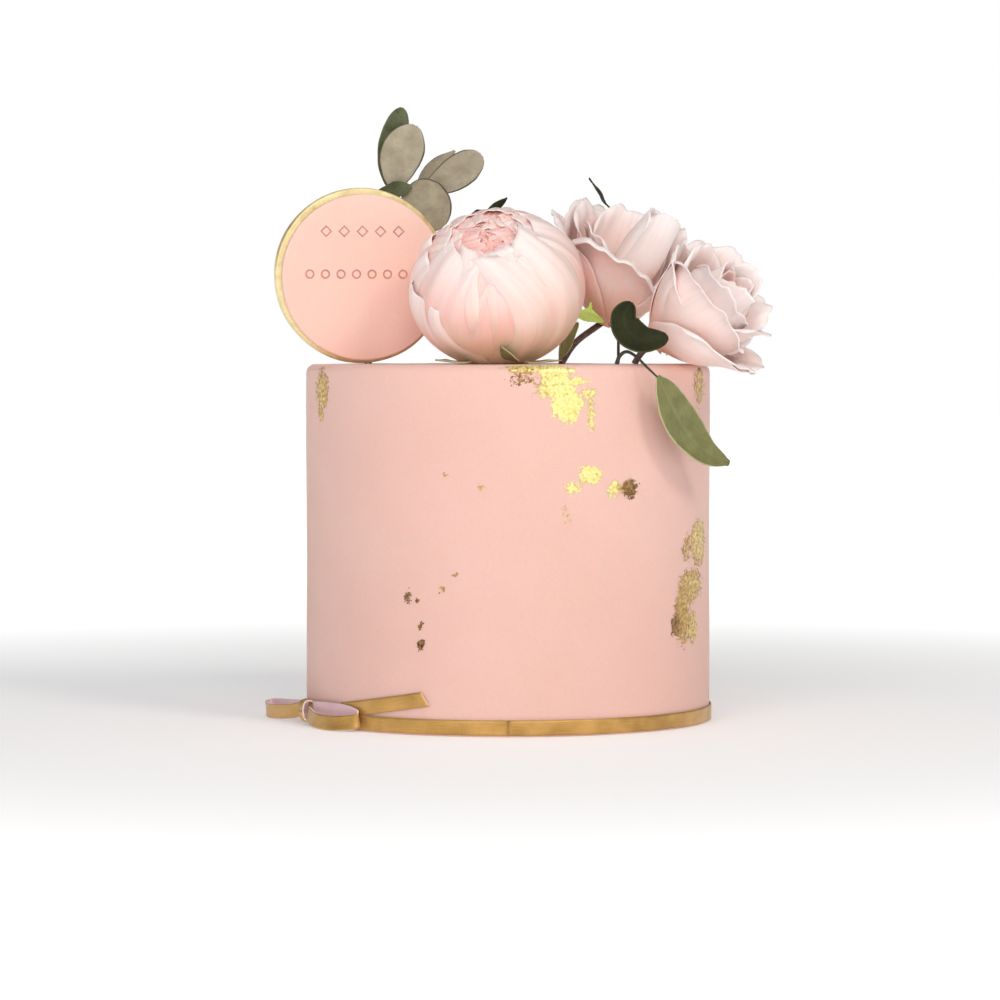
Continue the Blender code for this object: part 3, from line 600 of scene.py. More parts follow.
class Foil:
    """One piece of gold leaf, torn where it was laid on the cake's wall. Its middle is at a
    turn (degrees) and a height. Each patch in it is (x, y, width, height, tone, cover): x
    and y from the middle, all in millimetres, its dullness and the share of it left."""

    CELL = 0.32
    MARGIN = 0.85

    def __init__(self, turn, height, seed, *patches):
        self.turn, self.height, self.seed = turn, height, seed
        self.patches = patches

    def fill(self, x, y):
        """Above 0 where there is foil."""
        spot = Vector((x, y, self.seed * 9.7))
        warp = 1.4 * noise.noise(spot * 0.35)
        ragged = 0.55 * noise.noise(Vector((x * 0.55, y * 0.8, self.seed * 4.1)))
        ragged += 0.50 * noise.noise(Vector((x * 1.3, y * 1.6, self.seed * 3.1)))
        ragged += 0.24 * noise.noise(spot * 3.4)
        best = -1.0
        for px, py, width, tall, _, cover in self.patches:
            spread = (2 * (x + warp - px) / width) ** 2 + (2 * (y + warp - py) / tall) ** 2
            best = max(best, cover - 0.45 * spread + ragged * (1.15 - 0.4 * cover))
        return best

    def vertex(self, x, y):
        turn = math.radians(self.turn) + x * MM / CAKE_RADIUS
        spot = Vector((x, y, self.seed * 5.3))
        crinkle = noise.noise(spot * 0.9) + 0.5 * noise.noise(spot * 2.4)
        lift = (0.13 + 0.10 * max(-1.0, crinkle)) * MM
        weights = [0.001]
        tones = [0.0]
        for px, py, width, tall, tone, _ in self.patches:
            weight = math.exp(-((2 * (x - px) / width) ** 2) - (2 * (y - py) / tall) ** 2)
            weights.append(weight)
            tones.append(weight * tone)
        dull = sum(tones) / sum(weights) + 0.35 * noise.noise(spot * 0.8)
        return cake_point(turn, (self.height + y) * MM, lift), min(1.0, max(0.0, dull))

    def build(self, points, tones, faces):
        """Adds the foil's triangles, cut along the line where fill is 0."""
        low_x = min(p[0] - p[2] * self.MARGIN for p in self.patches)
        high_x = max(p[0] + p[2] * self.MARGIN for p in self.patches)
        low_y = min(p[1] - p[3] * self.MARGIN for p in self.patches)
        high_y = max(p[1] + p[3] * self.MARGIN for p in self.patches)
        fills, made = {}, {}

        def value(node):
            if node not in fills:
                fills[node] = self.fill(node[0] * self.CELL, node[1] * self.CELL)
            return fills[node]

        def index(a, b):
            """The vertex at node a, or where the edge between nodes a and b crosses 0."""
            key = (a, b) if a < b else (b, a)
            if key not in made:
                near, far = value(key[0]), value(key[1])
                u = 0.0 if a == b else near / (near - far)
                x = (key[0][0] + (key[1][0] - key[0][0]) * u) * self.CELL
                y = (key[0][1] + (key[1][1] - key[0][1]) * u) * self.CELL
                point, tone = self.vertex(x, y)
                made[key] = len(points)
                points.append(point)
                tones.append(tone)
            return made[key]

        for i in range(int(low_x / self.CELL) - 1, int(high_x / self.CELL) + 1):
            for j in range(int(low_y / self.CELL) - 1, int(high_y / self.CELL) + 1):
                a, b, c, d = (i, j), (i + 1, j), (i + 1, j + 1), (i, j + 1)
                for corners in ((a, b, c), (a, c, d)):
                    outline = []
                    for n in range(3):
                        here, ahead = corners[n], corners[(n + 1) % 3]
                        if value(here) > 0:
                            outline.append(index(here, here))
                        if (value(here) > 0) != (value(ahead) > 0):
                            outline.append(index(here, ahead))
                    if len(outline) >= 3:
                        faces.append(tuple(outline))


FOILS = (
    Foil(
        12, 160, 1,
        (-11, 14.5, 22, 5, 0.30, 0.42), (-14, 9, 16, 7, 0.85, 0.12), (1, 12.5, 14, 7, 0.15, 0.7),
        (2.5, 5.5, 16, 11, 0.1, 0.6), (12, 8.3, 13, 3.4, 0.1, 0.4), (7, -2.5, 12, 14, 0.0, 0.75),
        (18.5, 2.5, 8, 6, 0.15, 0.30), (19.5, -8, 4.0, 17, 0.2, 0.35), (-4, 2, 12, 6, 0.3, 0.15),
    ),
    Foil(21, 122, 2, (3, 2, 10, 8, 0.0, 0.55), (-5.5, -4.5, 8, 5.5, 0.05, 0.4)),
    Foil(33, 117, 3, (-4.5, 0, 8, 8, 0.1, 0.35), (4, 0, 9, 8, 1.0, 0.55)),
    Foil(16, 104, 4, (0, 0, 7, 12, 0.3, -0.10)),
    Foil(68.5, 165, 5, (0, 0, 14, 17, 0.50, 0.35)),
    Foil(-64.5, 160.5, 6, (0, 3, 13, 18, 0.50, 0.50), (-2, -8, 7, 8, 0.5, 0.3)),
    Foil(
        62, 68, 7,
        (11, 21, 17, 18, 0.45, 0.60), (-3, 19, 10, 12, 0.5, 0.25), (2, 1, 22, 13, 0.5, 0.55),
        (-7, -12, 13, 26, 0.55, 0.55), (-14, -17.5, 7, 9, 1.0, 0.60), (3, -20, 10, 14, 0.4, 0.50),
    ),
    Foil(-17.9, 123.6, 8, (0, 0, 6, 3, 0.5, 0.05)),
    Foil(-7.0, 118.8, 9, (0, 0, 5, 6, 0.5, 0.02)),
    Foil(-28.3, 65.5, 10, (0, 0, 4, 7, 1.0, 0.25), (5, -1, 3, 3, 0.9, 0.2)),
    Foil(-18.2, 69.5, 11, (0, 0, 5, 3, 0.6, 0.10), (6, 7, 4, 3, 0.6, 0.10)),
    Foil(-24.3, 48.0, 12, (0, 4.5, 3, 4, 0.9, 0.20), (0, -4.5, 4, 5, 1.0, 0.40)),
)


def make_gold_leaf():
    points, tones, faces = [], [], []
    for foil in FOILS:
        foil.build(points, tones, faces)
    made = mesh_object("gold_leaf", points, faces, gold_leaf_material())
    set_values(made, "tone", tones)
    drop_small_islands(made, FEWEST_FACES)
    thicken(made, GOLD_LEAF_THICKNESS)
    finish_piece(made, "gold_paint")


def drop_small_islands(obj, fewest):
    """Deletes the separate scraps that have fewer faces than the fewest."""
    cage = bmesh.new()
    cage.from_mesh(obj.data)
    unseen = set(cage.faces)
    scraps = []
    while unseen:
        group, queue = [], [unseen.pop()]
        while queue:
            face = queue.pop()
            group.append(face)
            for edge in face.edges:
                for other in edge.link_faces:
                    if other in unseen:
                        unseen.discard(other)
                        queue.append(other)
        if len(group) < fewest:
            scraps += group
    bmesh.ops.delete(cage, geom=scraps, context="FACES")
    cage.to_mesh(obj.data)
    cage.free()


# Ribbon and bow


def make_base_ribbon(gold):
    """A band round the foot, its margins not quite even."""
    grid = []
    for k in range(BAND_STEPS + 1):
        turn = 2 * math.pi * (k % BAND_STEPS) / BAND_STEPS
        length = 2 * math.pi * CAKE_RADIUS * k / BAND_STEPS
        wander = Vector((math.sin(turn), math.cos(turn), 0)) * 6
        row = []
        for j in range(BAND_COLUMNS):
            share = j / (BAND_COLUMNS - 1)
            bow_out = 0.10 * MM * math.sin(math.pi * share) + 0.07 * MM * noise.noise(wander)
            r = RIBBON_HIGH.x - RIBBON_THICKNESS / 2 - 0.05 * MM + bow_out
            z = RIBBON_LOW.z + RIBBON_WIDTH * share + 0.12 * MM * noise.noise(wander * 1.7)
            row.append((around(turn, r, z), share * RIBBON_WIDTH, length, 0.0))
        grid.append(row)
    band = sheets_object("ribbon_band", [grid], RIBBON_THICKNESS, [gold])
    finish_piece(band, "gold_ribbon", "base_ribbon")


def on_cake(turn_deg, out, z):
    """A point at a turn round the cake (0 is the front, negative the left), a distance
    out from its wall and a height, both in millimetres."""
    return around(math.radians(turn_deg), CAKE_RADIUS + out * MM, z * MM)


def ribbon_grid(route, count, lean_deg, slant=0.0, cup=0.25):
    """A ribbon on edge along its route. A positive lean tips its upper margin to the
    right of the way along, and slant lengthens the upper margin at the far end."""
    centres = smooth_path(route, count)
    lean = math.radians(lean_deg)
    grid = []
    length = 0.0
    for i, centre in enumerate(centres):
        before, after = centres[max(i - 1, 0)], centres[min(i + 1, count)]
        ahead = (after - before).normalized()
        length += (centre - before).length
        side = ahead.cross(Vector((0, 0, 1))).normalized()
        across = side * math.sin(lean) + Vector((0, 0, 1)) * math.cos(lean)
        row = []
        for j in range(LOOP_COLUMNS):
            share = j / (LOOP_COLUMNS - 1)
            bulge = side * cup * MM * math.cos(math.pi * (share - 0.5))
            trim = ahead * slant * MM * share * max(0.0, i / count - 0.8) / 0.2
            point = centre + across * RIBBON_WIDTH * (share - 0.5) + bulge + trim
            row.append((point, share * RIBBON_WIDTH, length, 0.0))
        grid.append(row)
    return grid


FRONT_LOOP = (
    (-65.4, 3.6, 8.6), (-58.0, 2.2, 9.0), (-50.0, 1.9, 8.8), (-44.6, 2.6, 7.2), (-43.4, 4.6, 5.6),
    (-45.6, 7.0, 4.6), (-51.0, 9.6, 3.9), (-58.0, 9.6, 4.3), (-65.4, 6.8, 6.2),
)
BACK_LOOP = (
    (-71.6, 6.6, 7.4), (-78.0, 10.5, 5.4), (-87.0, 17.5, 4.1), (-94.0, 21.0, 4.2), (-96.6, 19.2, 4.8),
    (-94.0, 14.6, 5.4), (-86.0, 8.0, 6.4), (-78.0, 4.4, 7.4), (-71.6, 3.2, 8.4),
)
TAIL = ((-53.0, 0.8, 9.6), (-44.0, 0.8, 11.6), (-33.0, 0.9, 14.6), (-21.6, 1.2, 17.8))


def make_bow(gold, painted_reflection, edge_highlight):
    """The two loops, with a pink painted reflection on their insides and a pale painted highlight on
    their cut edges, the loose end and the knot.
    """
    # Each loop's back takes the pink painted reflection, and its cut edges the pale painted highlight.
    sides = [gold, painted_reflection, edge_highlight]
    for name, route, lean, node in (
        ("bow_front", FRONT_LOOP, 8, "bow_loop_front"),
        ("bow_back", BACK_LOOP, -4, "bow_loop_back"),
    ):
        grid = ribbon_grid([on_cake(*p) for p in route], 72, lean)
        finish_piece(sheets_object(name, [grid], BOW_THICKNESS, sides), "gold_ribbon", node)
    grid = ribbon_grid([on_cake(*p) for p in TAIL], 40, 0, slant=-4.5)
    # The end's cut edges take the pale painted highlight.
    tail = sheets_object("bow_end", [grid], RIBBON_THICKNESS, [gold, gold, edge_highlight])
    finish_piece(tail, "gold_ribbon", "bow_tail")
    make_knot(gold, edge_highlight)


def make_knot(gold, edge_highlight):
    """The wrap round the bow's middle: a short band, creased along its way round."""
    low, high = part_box("bow_knot")
    middle = (low + high) / 2
    along = Vector((math.cos(KNOT_TURN), math.sin(KNOT_TURN), 0))
    out = Vector((along.y, -along.x, 0))
    half_out, half_up, half_wide = 3.3 * MM, (high.z - low.z) / 2 - 0.3 * MM, 3.2 * MM
    grid = []
    for i in range(KNOT_STEPS + 1):
        angle = 2 * math.pi * (i % KNOT_STEPS) / KNOT_STEPS
        c, s = math.cos(angle), math.sin(angle)
        ring = out * math.copysign(abs(c) ** 0.7, c) * half_out
        ring += Vector((0, 0, math.copysign(abs(s) ** 0.75, s) * half_up))
        pinch = 1 + 0.06 * math.sin(angle * 2 + 1)
        row = []
        for j in range(KNOT_COLUMNS):
            share = j / (KNOT_COLUMNS - 1)
            crease = 1 + 0.05 * math.cos(share * math.pi * 6) - 0.10 * abs(2 * share - 1) ** 3
            point = middle + ring * crease + along * half_wide * (2 * share - 1) * pinch
            row.append((point, share * RIBBON_WIDTH, angle * half_up, 0.0))
        grid.append(row)
    # The wrap's cut edges take the pale painted highlight.
    knot = sheets_object("bow_wrap", [grid], BOW_THICKNESS, [gold, gold, edge_highlight])
    finish_piece(knot, "gold_ribbon", "bow_knot")


# Plaque


def plaque_matrix(forward):
    """Local +Z is the way the plaque's face looks, and local +Y is up."""
    face_way = Vector((math.sin(PLAQUE_TURN), -math.cos(PLAQUE_TURN), 0))
    right = Vector((math.cos(PLAQUE_TURN), math.sin(PLAQUE_TURN), 0))
    found = Matrix((right, Vector((0, 0, 1)), face_way)).transposed().to_4x4()
    found.translation = PLAQUE_PLACE + Vector((0, 0, CAKE_HEIGHT + GAP + PLAQUE_RADIUS))
    found.translation += face_way * forward
    return found


def disc_mesh(name, radius, thickness, edge, matrix, material, uneven):
    """A turned disc with rounded edges, its outline and face a little uneven."""
    profile = [(0.0, thickness / 2)]
    profile += [(radius * i / 30, thickness / 2) for i in range(1, 28)]
    for centre_z, start in ((thickness / 2 - edge, 90), (-thickness / 2 + edge, 0)):
        for i in range(PLAQUE_EDGE_STEPS + 1):
            angle = math.radians(start - 90 * i / PLAQUE_EDGE_STEPS)
            profile.append((radius - edge + edge * math.cos(angle), centre_z + edge * math.sin(angle)))
    profile += [(radius * 0.6, -thickness / 2), (0.0, -thickness / 2)]
    points, faces = [], []
    for r, z in profile:
        for k in range(PLAQUE_STEPS if r else 1):
            angle = 2 * math.pi * k / PLAQUE_STEPS
            c, s = math.cos(angle), math.sin(angle)
            wander = noise.noise(Vector((c * 2.4, s * 2.4, z * 300)))
            reach = r + (uneven * wander if r > 0.85 * radius else 0.0)
            dome = 0.25 * uneven * noise.noise(Vector((r * c, r * s, 0)) * 90)
            points.append(matrix @ Vector((reach * c, reach * s, z + dome)))
    first = 0
    for n in range(len(profile) - 1):
        here = PLAQUE_STEPS if profile[n][0] else 1
        there = PLAQUE_STEPS if profile[n + 1][0] else 1
        second = first + here
        for k in range(PLAQUE_STEPS):
            m = (k + 1) % PLAQUE_STEPS
            if here == 1:
                faces.append((first, second + k, second + m))
            elif there == 1:
                faces.append((first + k, second, first + m))
            else:
                faces.append((first + k, second + k, second + m, first + m))
        first = second
    return mesh_object(name, points, faces, material)


def pressed_marks(marks, width, depth, matrix):
    """One cutter for the outlines of all the marks, its grooves narrower at the bottom. Each
    mark is (x, y, size, sides)."""
    points, faces = [], []
    for x, y, size, sides in marks:
        outer, inner = size / 2, size / 2 - width
        profile = (
            (outer, depth), (outer, 0.0), (outer - 0.25 * width, -depth),
            (inner + 0.25 * width, -depth), (inner, 0.0), (inner, depth),
        )
        first = len(points)
        for k in range(sides):
            angle = 2 * math.pi * k / sides
            for half, level in profile:
                local = Vector((x + half * math.cos(angle), y + half * math.sin(angle), level))
                points.append(matrix @ local)
            count = len(profile)
            here, ahead = first + count * k, first + count * ((k + 1) % sides)
            for n in range(count):
                m = (n + 1) % count
                faces.append((here + m, ahead + m, ahead + n, here + n))
    return mesh_object("cutter", points, faces, None, smooth=False)


def make_plaque(pink):
    """The gold disc, and the pink one on its front with its pressed marks."""
    back = disc_mesh(
        "plaque_gold", PLAQUE_RADIUS, PLAQUE_BACK_THICKNESS, 1.2 * MM, plaque_matrix(0),
        gold_paint_material(), 0.25 * MM,
    )
    finish_piece(back, "gold_paint", "plaque_back")
    forward = PLAQUE_BACK_THICKNESS / 2 + PLAQUE_FACE_THICKNESS / 2 + GAP * 0.6
    face_place = plaque_matrix(forward) @ Matrix.Translation(PLAQUE_FACE_SHIFT)
    face = disc_mesh(
        "plaque_pink", PLAQUE_FACE_RADIUS, PLAQUE_FACE_THICKNESS, 1.0 * MM, face_place, pink, 0.2 * MM
    )
    marks = [(9.1 * MM * (i - 2.1), 22.6 * MM, 6.0 * MM, 4) for i in range(5)]
    marks += [(7.8 * MM * (i - 3.5), 1.4 * MM, 4.8 * MM, 28) for i in range(8)]
    front = face_place @ Matrix.Translation((0, 0, PLAQUE_FACE_THICKNESS / 2))
    cutter = pressed_marks(marks, MARK_WIDTH, MARK_DEPTH, front)
    cut = face.modifiers.new("Marks", "BOOLEAN")
    cut.operation = "DIFFERENCE"
    cut.object = cutter
    cut.solver = "EXACT"
    apply_modifiers(face)
    bpy.data.objects.remove(cutter, do_unlink=True)
    face.data.shade_smooth()
    face.data.set_sharp_from_angle(angle=math.radians(32))
    from_plaque = face_place.inverted()
    depths = [PLAQUE_FACE_THICKNESS / 2 - (from_plaque @ v.co).z for v in face.data.vertices]
    inner = [(from_plaque @ v.co).xy.length < 0.8 * PLAQUE_FACE_RADIUS for v in face.data.vertices]
    # Points deep in a mark's groove take the painted shade.
    groove_shade_shares = [min(1.0, max(0.0, depth / (0.6 * MM) - 0.3)) for depth in depths]
    set_values(face, "tone", [share * inside for share, inside in zip(groove_shade_shares, inner)])
    finish_piece(face, "plaque_fondant", "plaque_face")


# Petals


class Petal:
    """One petal in its flower's frame. Angles are in degrees and lengths in metres.

    The midline starts at start = (distance from the axis, height) and runs for reach, its
    slope turning evenly from base to rim (0 is straight out, 90 up, 180 back in). From
    curl_from on it rolls outwards by curl. Across, the petal wraps round the axis: wrap 1
    keeps it as far from the axis all the way, and more is flatter. skew lifts one margin
    outwards, tilt makes one side longer, and lean moves it sideways as it rises. corner
    rounds its tip, notch dips the tip's middle and point draws it out, and claw is the share
    of its width at its foot. ruffle, crumple and ribs are the heights of its waves, dents and
    lengthwise ridges, a large late keeps the last two near its rim, and fringe is how uneven
    the rim is. tone is its colour, from pale to blushed."""

    SHAPE = {
        "start": (2 * MM, 0.0), "curl": 0.0, "curl_from": 0.75, "wrap": 1.15, "skew": 0.0,
        "corner": 0.28, "notch": 0.0, "point": 0.0, "ruffle": 0.0, "waves": 2.5, "claw": 0.30,
        "fringe": 0.02, "crumple": 0.8 * MM, "ribs": 0.15 * MM, "tone": 0.4, "seed": 0,
        "tilt": 0.0, "lean": (0.0, 0.0), "late": 0.8,
    }

    def __init__(self, turn, reach, width, base, rim, **shape):
        self.turn, self.reach, self.width = turn, reach, width
        self.base, self.rim = base, rim
        for key, value in (self.SHAPE | shape).items():
            setattr(self, key, value)

    def half_width(self, t):
        grown = self.claw + (1 - self.claw) * math.sin(math.pi / 2 * min(1.0, t / 0.62)) ** 1.3
        return self.width / 2 * grown * (1 - 0.10 * max(0.0, t - 0.75) / 0.25)

    def slope(self, t, s):
        steady = self.base + (self.rim - self.base) * t
        late = max(0.0, (t - self.curl_from) / (1 - self.curl_from))
        return math.radians(steady - self.curl * late ** 1.5 * (1 + 0.25 * s * s))

    def length(self, s):
        dip = self.notch * math.exp(-((s / 0.22) ** 2))
        tip = self.point * math.exp(-((s / 0.16) ** 2))
        uneven = self.fringe * noise.noise(Vector((s * 4.0, self.seed * 3.3, 0.5)))
        uneven += 0.35 * self.fringe * noise.noise(Vector((s * 11, self.seed * 3.3, 2.5)))
        round_off = self.corner * abs(s) ** 2.6
        return self.reach * (1 - round_off - dip + tip + uneven + self.tilt * s)

    def grid(self):
        rows = 14 + 2 * int(self.reach / (7 * MM))
        columns = 17 + 2 * int(self.width / (7 * MM))
        found = [[None] * columns for _ in range(rows)]
        for j in range(columns):
            s = 2 * j / (columns - 1) - 1
            step = self.length(s) / (rows - 1)
            r, z = self.start
            for i in range(rows):
                t = i / (rows - 1)
                if i:
                    angle = self.slope(t - 0.5 / (rows - 1), s)
                    r += math.cos(angle) * step
                    z += math.sin(angle) * step
                found[i][j] = (self.placed(r, z, t, s), (s + 1) / 2, t, self.tone)
        return found

    def relief(self, t, s):
        """How far the surface stands off its even sweep. t runs from 0 at the foot to 1 at
        the rim, and s from -1 to 1 across."""
        phase = self.seed * 1.7
        wave = 0.65 * math.sin(self.waves * math.pi * s + phase)
        wave += 0.35 * math.sin(2.3 * self.waves * math.pi * s + 2 * phase)
        found = self.ruffle * t ** 2.4 * wave * (0.4 + 0.6 * abs(s))
        spot = Vector((s * 2.0, t * 2.4, self.seed * 5.1))
        dent = noise.noise(spot) + 0.4 * noise.noise(spot * 2.3)
        ridge = noise.noise(Vector((s * 6.5 + 0.8 * t, t * 0.8, self.seed * 7.3)))
        return found + (self.crumple * dent + self.ribs * ridge) * t ** self.late

    def placed(self, r, z, t, s):
        half = self.half_width(t)
        radius = max(abs(r) * self.wrap, half * 0.55, 1.0 * MM)
        theta = s * half / radius
        slope = self.slope(t, s)
        wave = self.relief(t, s)
        radial = r - radius + radius * math.cos(theta) + self.skew * s * t
        radial -= wave * math.sin(slope)
        height = z + wave * math.cos(slope)
        sideways = radius * math.sin(theta)
        turn = math.radians(self.turn)
        return Vector(
            (
                radial * math.cos(turn) - sideways * math.sin(turn) + self.lean[0] * height,
                radial * math.sin(turn) + sideways * math.cos(turn) + self.lean[1] * height,
                height,
            )
        )


def flower_object(name, petals, place, material):
    sheets = []
    for petal in petals:
        sheets.append([[(place(p), *rest) for p, *rest in row] for row in petal.grid()])
    return sheets_object(name, sheets, PETAL_THICKNESS, [material])


# Peony


def ball_petal(turn, radius, first, closing, width, **shape):
    """A petal that follows a ball standing on the flower's origin, from one angle off its
    foot to another (degrees)."""
    angle = math.radians(first)
    start = (max(radius * math.sin(angle), 0.5 * MM), PEONY_RADIUS - radius * math.cos(angle))
    reach = math.radians(closing - first) * radius
    return Petal(turn, reach, width, first, closing, start=start, wrap=1.0, **shape)


PEONY_OUTER = (
    # turn, distance out of the ball (mm), closing angle, width (mm), ruffle (mm), tone
    (-44, 2.0, 161, 72, 1.4, 0.15),
    (-126, 1.2, 158, 70, 1.7, 0.50),
    (-152, 2.4, 108, 56, 1.8, -0.30),
    (176, 0.9, 134, 62, 1.6, 0.40),
    (118, 0.3, 116, 72, 1.4, 0.45),
    (48, 0.7, 118, 74, 1.4, 0.45),
    (4, 0.8, 148, 62, 1.6, 0.45),
    (-88, 0.2, 166, 58, 1.4, 0.28),
)
PEONY_RINGS = (
    # petals, distance out of the ball (mm), first angle, closing angles, width (mm), tone
    (8, -1.1, 60, (144, 164), 44, 0.50),
    (9, -1.7, 90, (150, 168), 34, 0.65),
    (9, -2.3, 105, (156, 172), 26, 0.80),
    (9, -2.9, 118, (162, 176), 20, 0.95),
    (8, -3.5, 130, (167, 180), 16, 1.10),
    (7, -4.2, 145, (174, 184), 13, 1.25),
    (3, -4.8, 160, (186, 192), 12, 1.40),
)


def peony_petals():
    """The large outer petals, then the rings of smaller ones that close over the heart."""
    rng = random.Random(11)
    petals = []
    for n, (turn, out, closing, width, ruffle, tone) in enumerate(PEONY_OUTER):
        petals.append(
            ball_petal(
                turn, PEONY_RADIUS + out * MM, 0, closing, width * MM, claw=0.20, corner=0.15,
                notch=0.03, fringe=0.05, skew=1.6 * MM, ruffle=ruffle * MM, waves=2.6,
                crumple=1.0 * MM, ribs=1.0 * MM, tone=tone, seed=n + 1, curl=-6,
                curl_from=0.88, late=2.0,
            )
        )
    for ring, (count, out, first, closings, width, tone) in enumerate(PEONY_RINGS):
        for n in range(count):
            petals.append(
                ball_petal(
                    360 / count * n + rng.uniform(-16, 16) + 17 * ring,
                    PEONY_RADIUS + (out + rng.uniform(-0.8, 0.8)) * MM, first,
                    rng.uniform(*closings), width * MM * rng.uniform(0.85, 1.15), claw=0.7,
                    corner=0.20, notch=rng.uniform(0, 0.12), fringe=0.08,
                    skew=rng.uniform(-1.5, 1.5) * MM, ruffle=rng.uniform(0.5, 1.2) * MM,
                    waves=rng.uniform(2.0, 3.5), crumple=0.9 * MM, ribs=0.6 * MM,
                    tone=tone + rng.uniform(-0.2, 0.2), seed=20 + 10 * ring + n,
                    curl=rng.uniform(-10, 25), curl_from=0.82, late=2.0,
                )
            )
    return petals


def peony_place(p):
    """From the peony's own ball to its seat on the cake: pressed a little flatter, its top
    bent over towards the front and a little to the left."""
    height = p.z / (2 * PEONY_RADIUS) * PEONY_HEIGHT
    bend = PEONY_BEND * min(1.0, max(0.0, height / PEONY_HEIGHT)) ** 0.8
    across = Matrix.Rotation(PEONY_TURN - PEONY_LEAN, 3, "Z") @ Vector((p.x, p.y, 0))
    middle = PEONY_HEIGHT / 2
    rise = height - middle
    y = across.y * math.cos(bend) - rise * math.sin(bend)
    z = CAKE_HEIGHT + middle + across.y * math.sin(bend) + rise * math.cos(bend)
    seat = Matrix.Rotation(PEONY_LEAN, 3, "Z") @ Vector((across.x, y, 0))
    return Vector((PEONY_X + seat.x, PEONY_Y + seat.y, max(z, CAKE_HEIGHT + GAP)))


def make_peony():
    material = petal_material(
        "peony_petal", (0.72, 0.61, 0.37, 1), (1.0, 0.48, 0.42, 1), (1.0, 0.76, 0.68, 1),
        (1.0, 0.88, 0.86, 1), (0.42, 0.04, 0.05, 1), 0.62,
    )
    peony = flower_object("peony_petals", peony_petals(), peony_place, material)
    core = ball_core(PEONY_RADIUS - 7 * MM, material)
    finish_piece(peony, "petal", "peony")
    finish_piece(core, "petal")


def ball_core(radius, material):
    """The flower's closed heart, seen only as pink between the petals."""
    grid = []
    for i in range(HEART_ROWS + 1):
        angle = math.pi * (0.02 + 0.96 * i / HEART_ROWS)
        row = []
        for k in range(HEART_STEPS + 1):
            turn = 2 * math.pi * (k % HEART_STEPS) / HEART_STEPS
            c, s = math.cos(turn), math.sin(turn)
            uneven = radius * (1 + 0.06 * noise.noise(Vector((c * 3, s * 3, i / 3))))
            out = uneven * math.sin(angle)
            point = Vector((out * c, out * s, PEONY_RADIUS - uneven * math.cos(angle)))
            row.append((peony_place(point), k / HEART_STEPS, 0.7, 1.0))
        grid.append(row)
    return sheets_object("peony_heart", [grid], 2 * MM, [material])


# Roses


def flower_frame(base, axis):
    """+Z along the flower's axis from its base, +X to the viewer's right."""
    up = axis.normalized()
    right = (Vector((1, 0, 0)) - up * up.x).normalized()
    back = up.cross(right)
    found = Matrix((right, back, up)).transposed().to_4x4()
    found.translation = base
    return found


def rose_bud(rng, size, turn, lean, heart, slack, opened):
    """Petals wound round the middle, each overlapping the one before. heart is the tone of
    the innermost, slack how much wider the outer ones stand, and opened how far their tips
    roll out (both in degrees)."""
    petals = []
    for n in range(7):
        grow = n / 6
        petals.append(
            Petal(
                turn + 128 * n, (52 + 10 * grow) * MM * size, (20 + 16 * grow) * MM * size,
                68 - slack * grow, 104 + 6 * grow, start=(2.2 * MM, 2 * MM), wrap=1.0, claw=0.6,
                corner=0.30, skew=(1.2 + 1.6 * grow) * MM, curl=opened * grow, curl_from=0.84,
                ruffle=0.8 * MM, crumple=0.8 * MM, fringe=0.03, lean=lean,
                tone=heart * (1 - grow), seed=int(rng.uniform(0, 900)),
            )
        )
    return petals


ROSE_LEFT_PETALS = (
    # turn, reach (mm), width (mm), base, rim, curl, where the curl starts, tilt, tone
    (-160, 51, 44, 46, 90, 60, 0.78, 0.0, 0.45),
    (150, 60, 50, 44, 84, 40, 0.80, 0.0, 0.55),
    (95, 61, 52, 50, 94, 40, 0.80, 0.0, 0.30),
    (46, 62, 46, 47, 92, 50, 0.78, 0.0, 0.25),
    (14, 46, 38, 40, 86, 70, 0.76, 0.0, 0.35),
    (-94, 53, 70, 33, 90, 120, 0.68, -0.26, 0.35),
    (176, 58, 62, 30, 78, 70, 0.76, 0.0, 0.60),
    (128, 63, 56, 36, 78, 40, 0.80, 0.0, 0.45),
    (70, 64, 60, 36, 86, 60, 0.78, 0.0, 0.30),
    (16, 56, 52, 33, 80, 75, 0.76, 0.0, 0.25),
)
ROSE_RIGHT_PETALS = (
    (-114, 60, 50, 52, 97, 45, 0.80, 0.0, -0.05),
    (-40, 58, 44, 46, 90, 55, 0.78, 0.0, 0.30),
    (15, 55, 46, 46, 90, 55, 0.78, 0.0, 0.20),
    (75, 57, 50, 46, 90, 50, 0.78, 0.0, 0.40),
    (140, 54, 48, 48, 93, 50, 0.78, 0.0, 0.40),
    (-112, 61, 74, 37, 92, 75, 0.76, 0.0, 0.40),
    (-26, 50, 44, 36, 52, 10, 0.80, 0.0, 0.25),
    (30, 47, 54, 32, 80, 75, 0.76, 0.0, 0.20),
    (88, 53, 60, 34, 84, 60, 0.78, 0.0, 0.35),
    (165, 51, 60, 36, 88, 60, 0.78, 0.0, 0.40),
    (-66, 55, 58, 26, 76, 60, 0.76, 0.0, 0.30),
)


def rose_petals(seed, rows, size, *bud):
    """The bud's petals, then the open ones round it, a row for each."""
    rng = random.Random(seed)
    petals = rose_bud(rng, size, *bud)
    for turn, reach, width, base, rim, curl, curl_from, tilt, tone in rows:
        petals.append(
            Petal(
                turn, reach * MM, width * MM, base, rim, start=(4 * MM, 0.0), corner=0.22,
                skew=rng.uniform(1.8, 3.2) * MM, claw=0.4, curl=curl, curl_from=curl_from,
                wrap=1.08, ruffle=rng.uniform(1.4, 2.4) * MM, waves=rng.uniform(1.8, 3.0),
                fringe=0.045, crumple=1.4 * MM, ribs=0.25 * MM, point=rng.uniform(0.0, 0.05),
                tilt=tilt, tone=tone, seed=int(rng.uniform(0, 900)),
            )
        )
    return petals


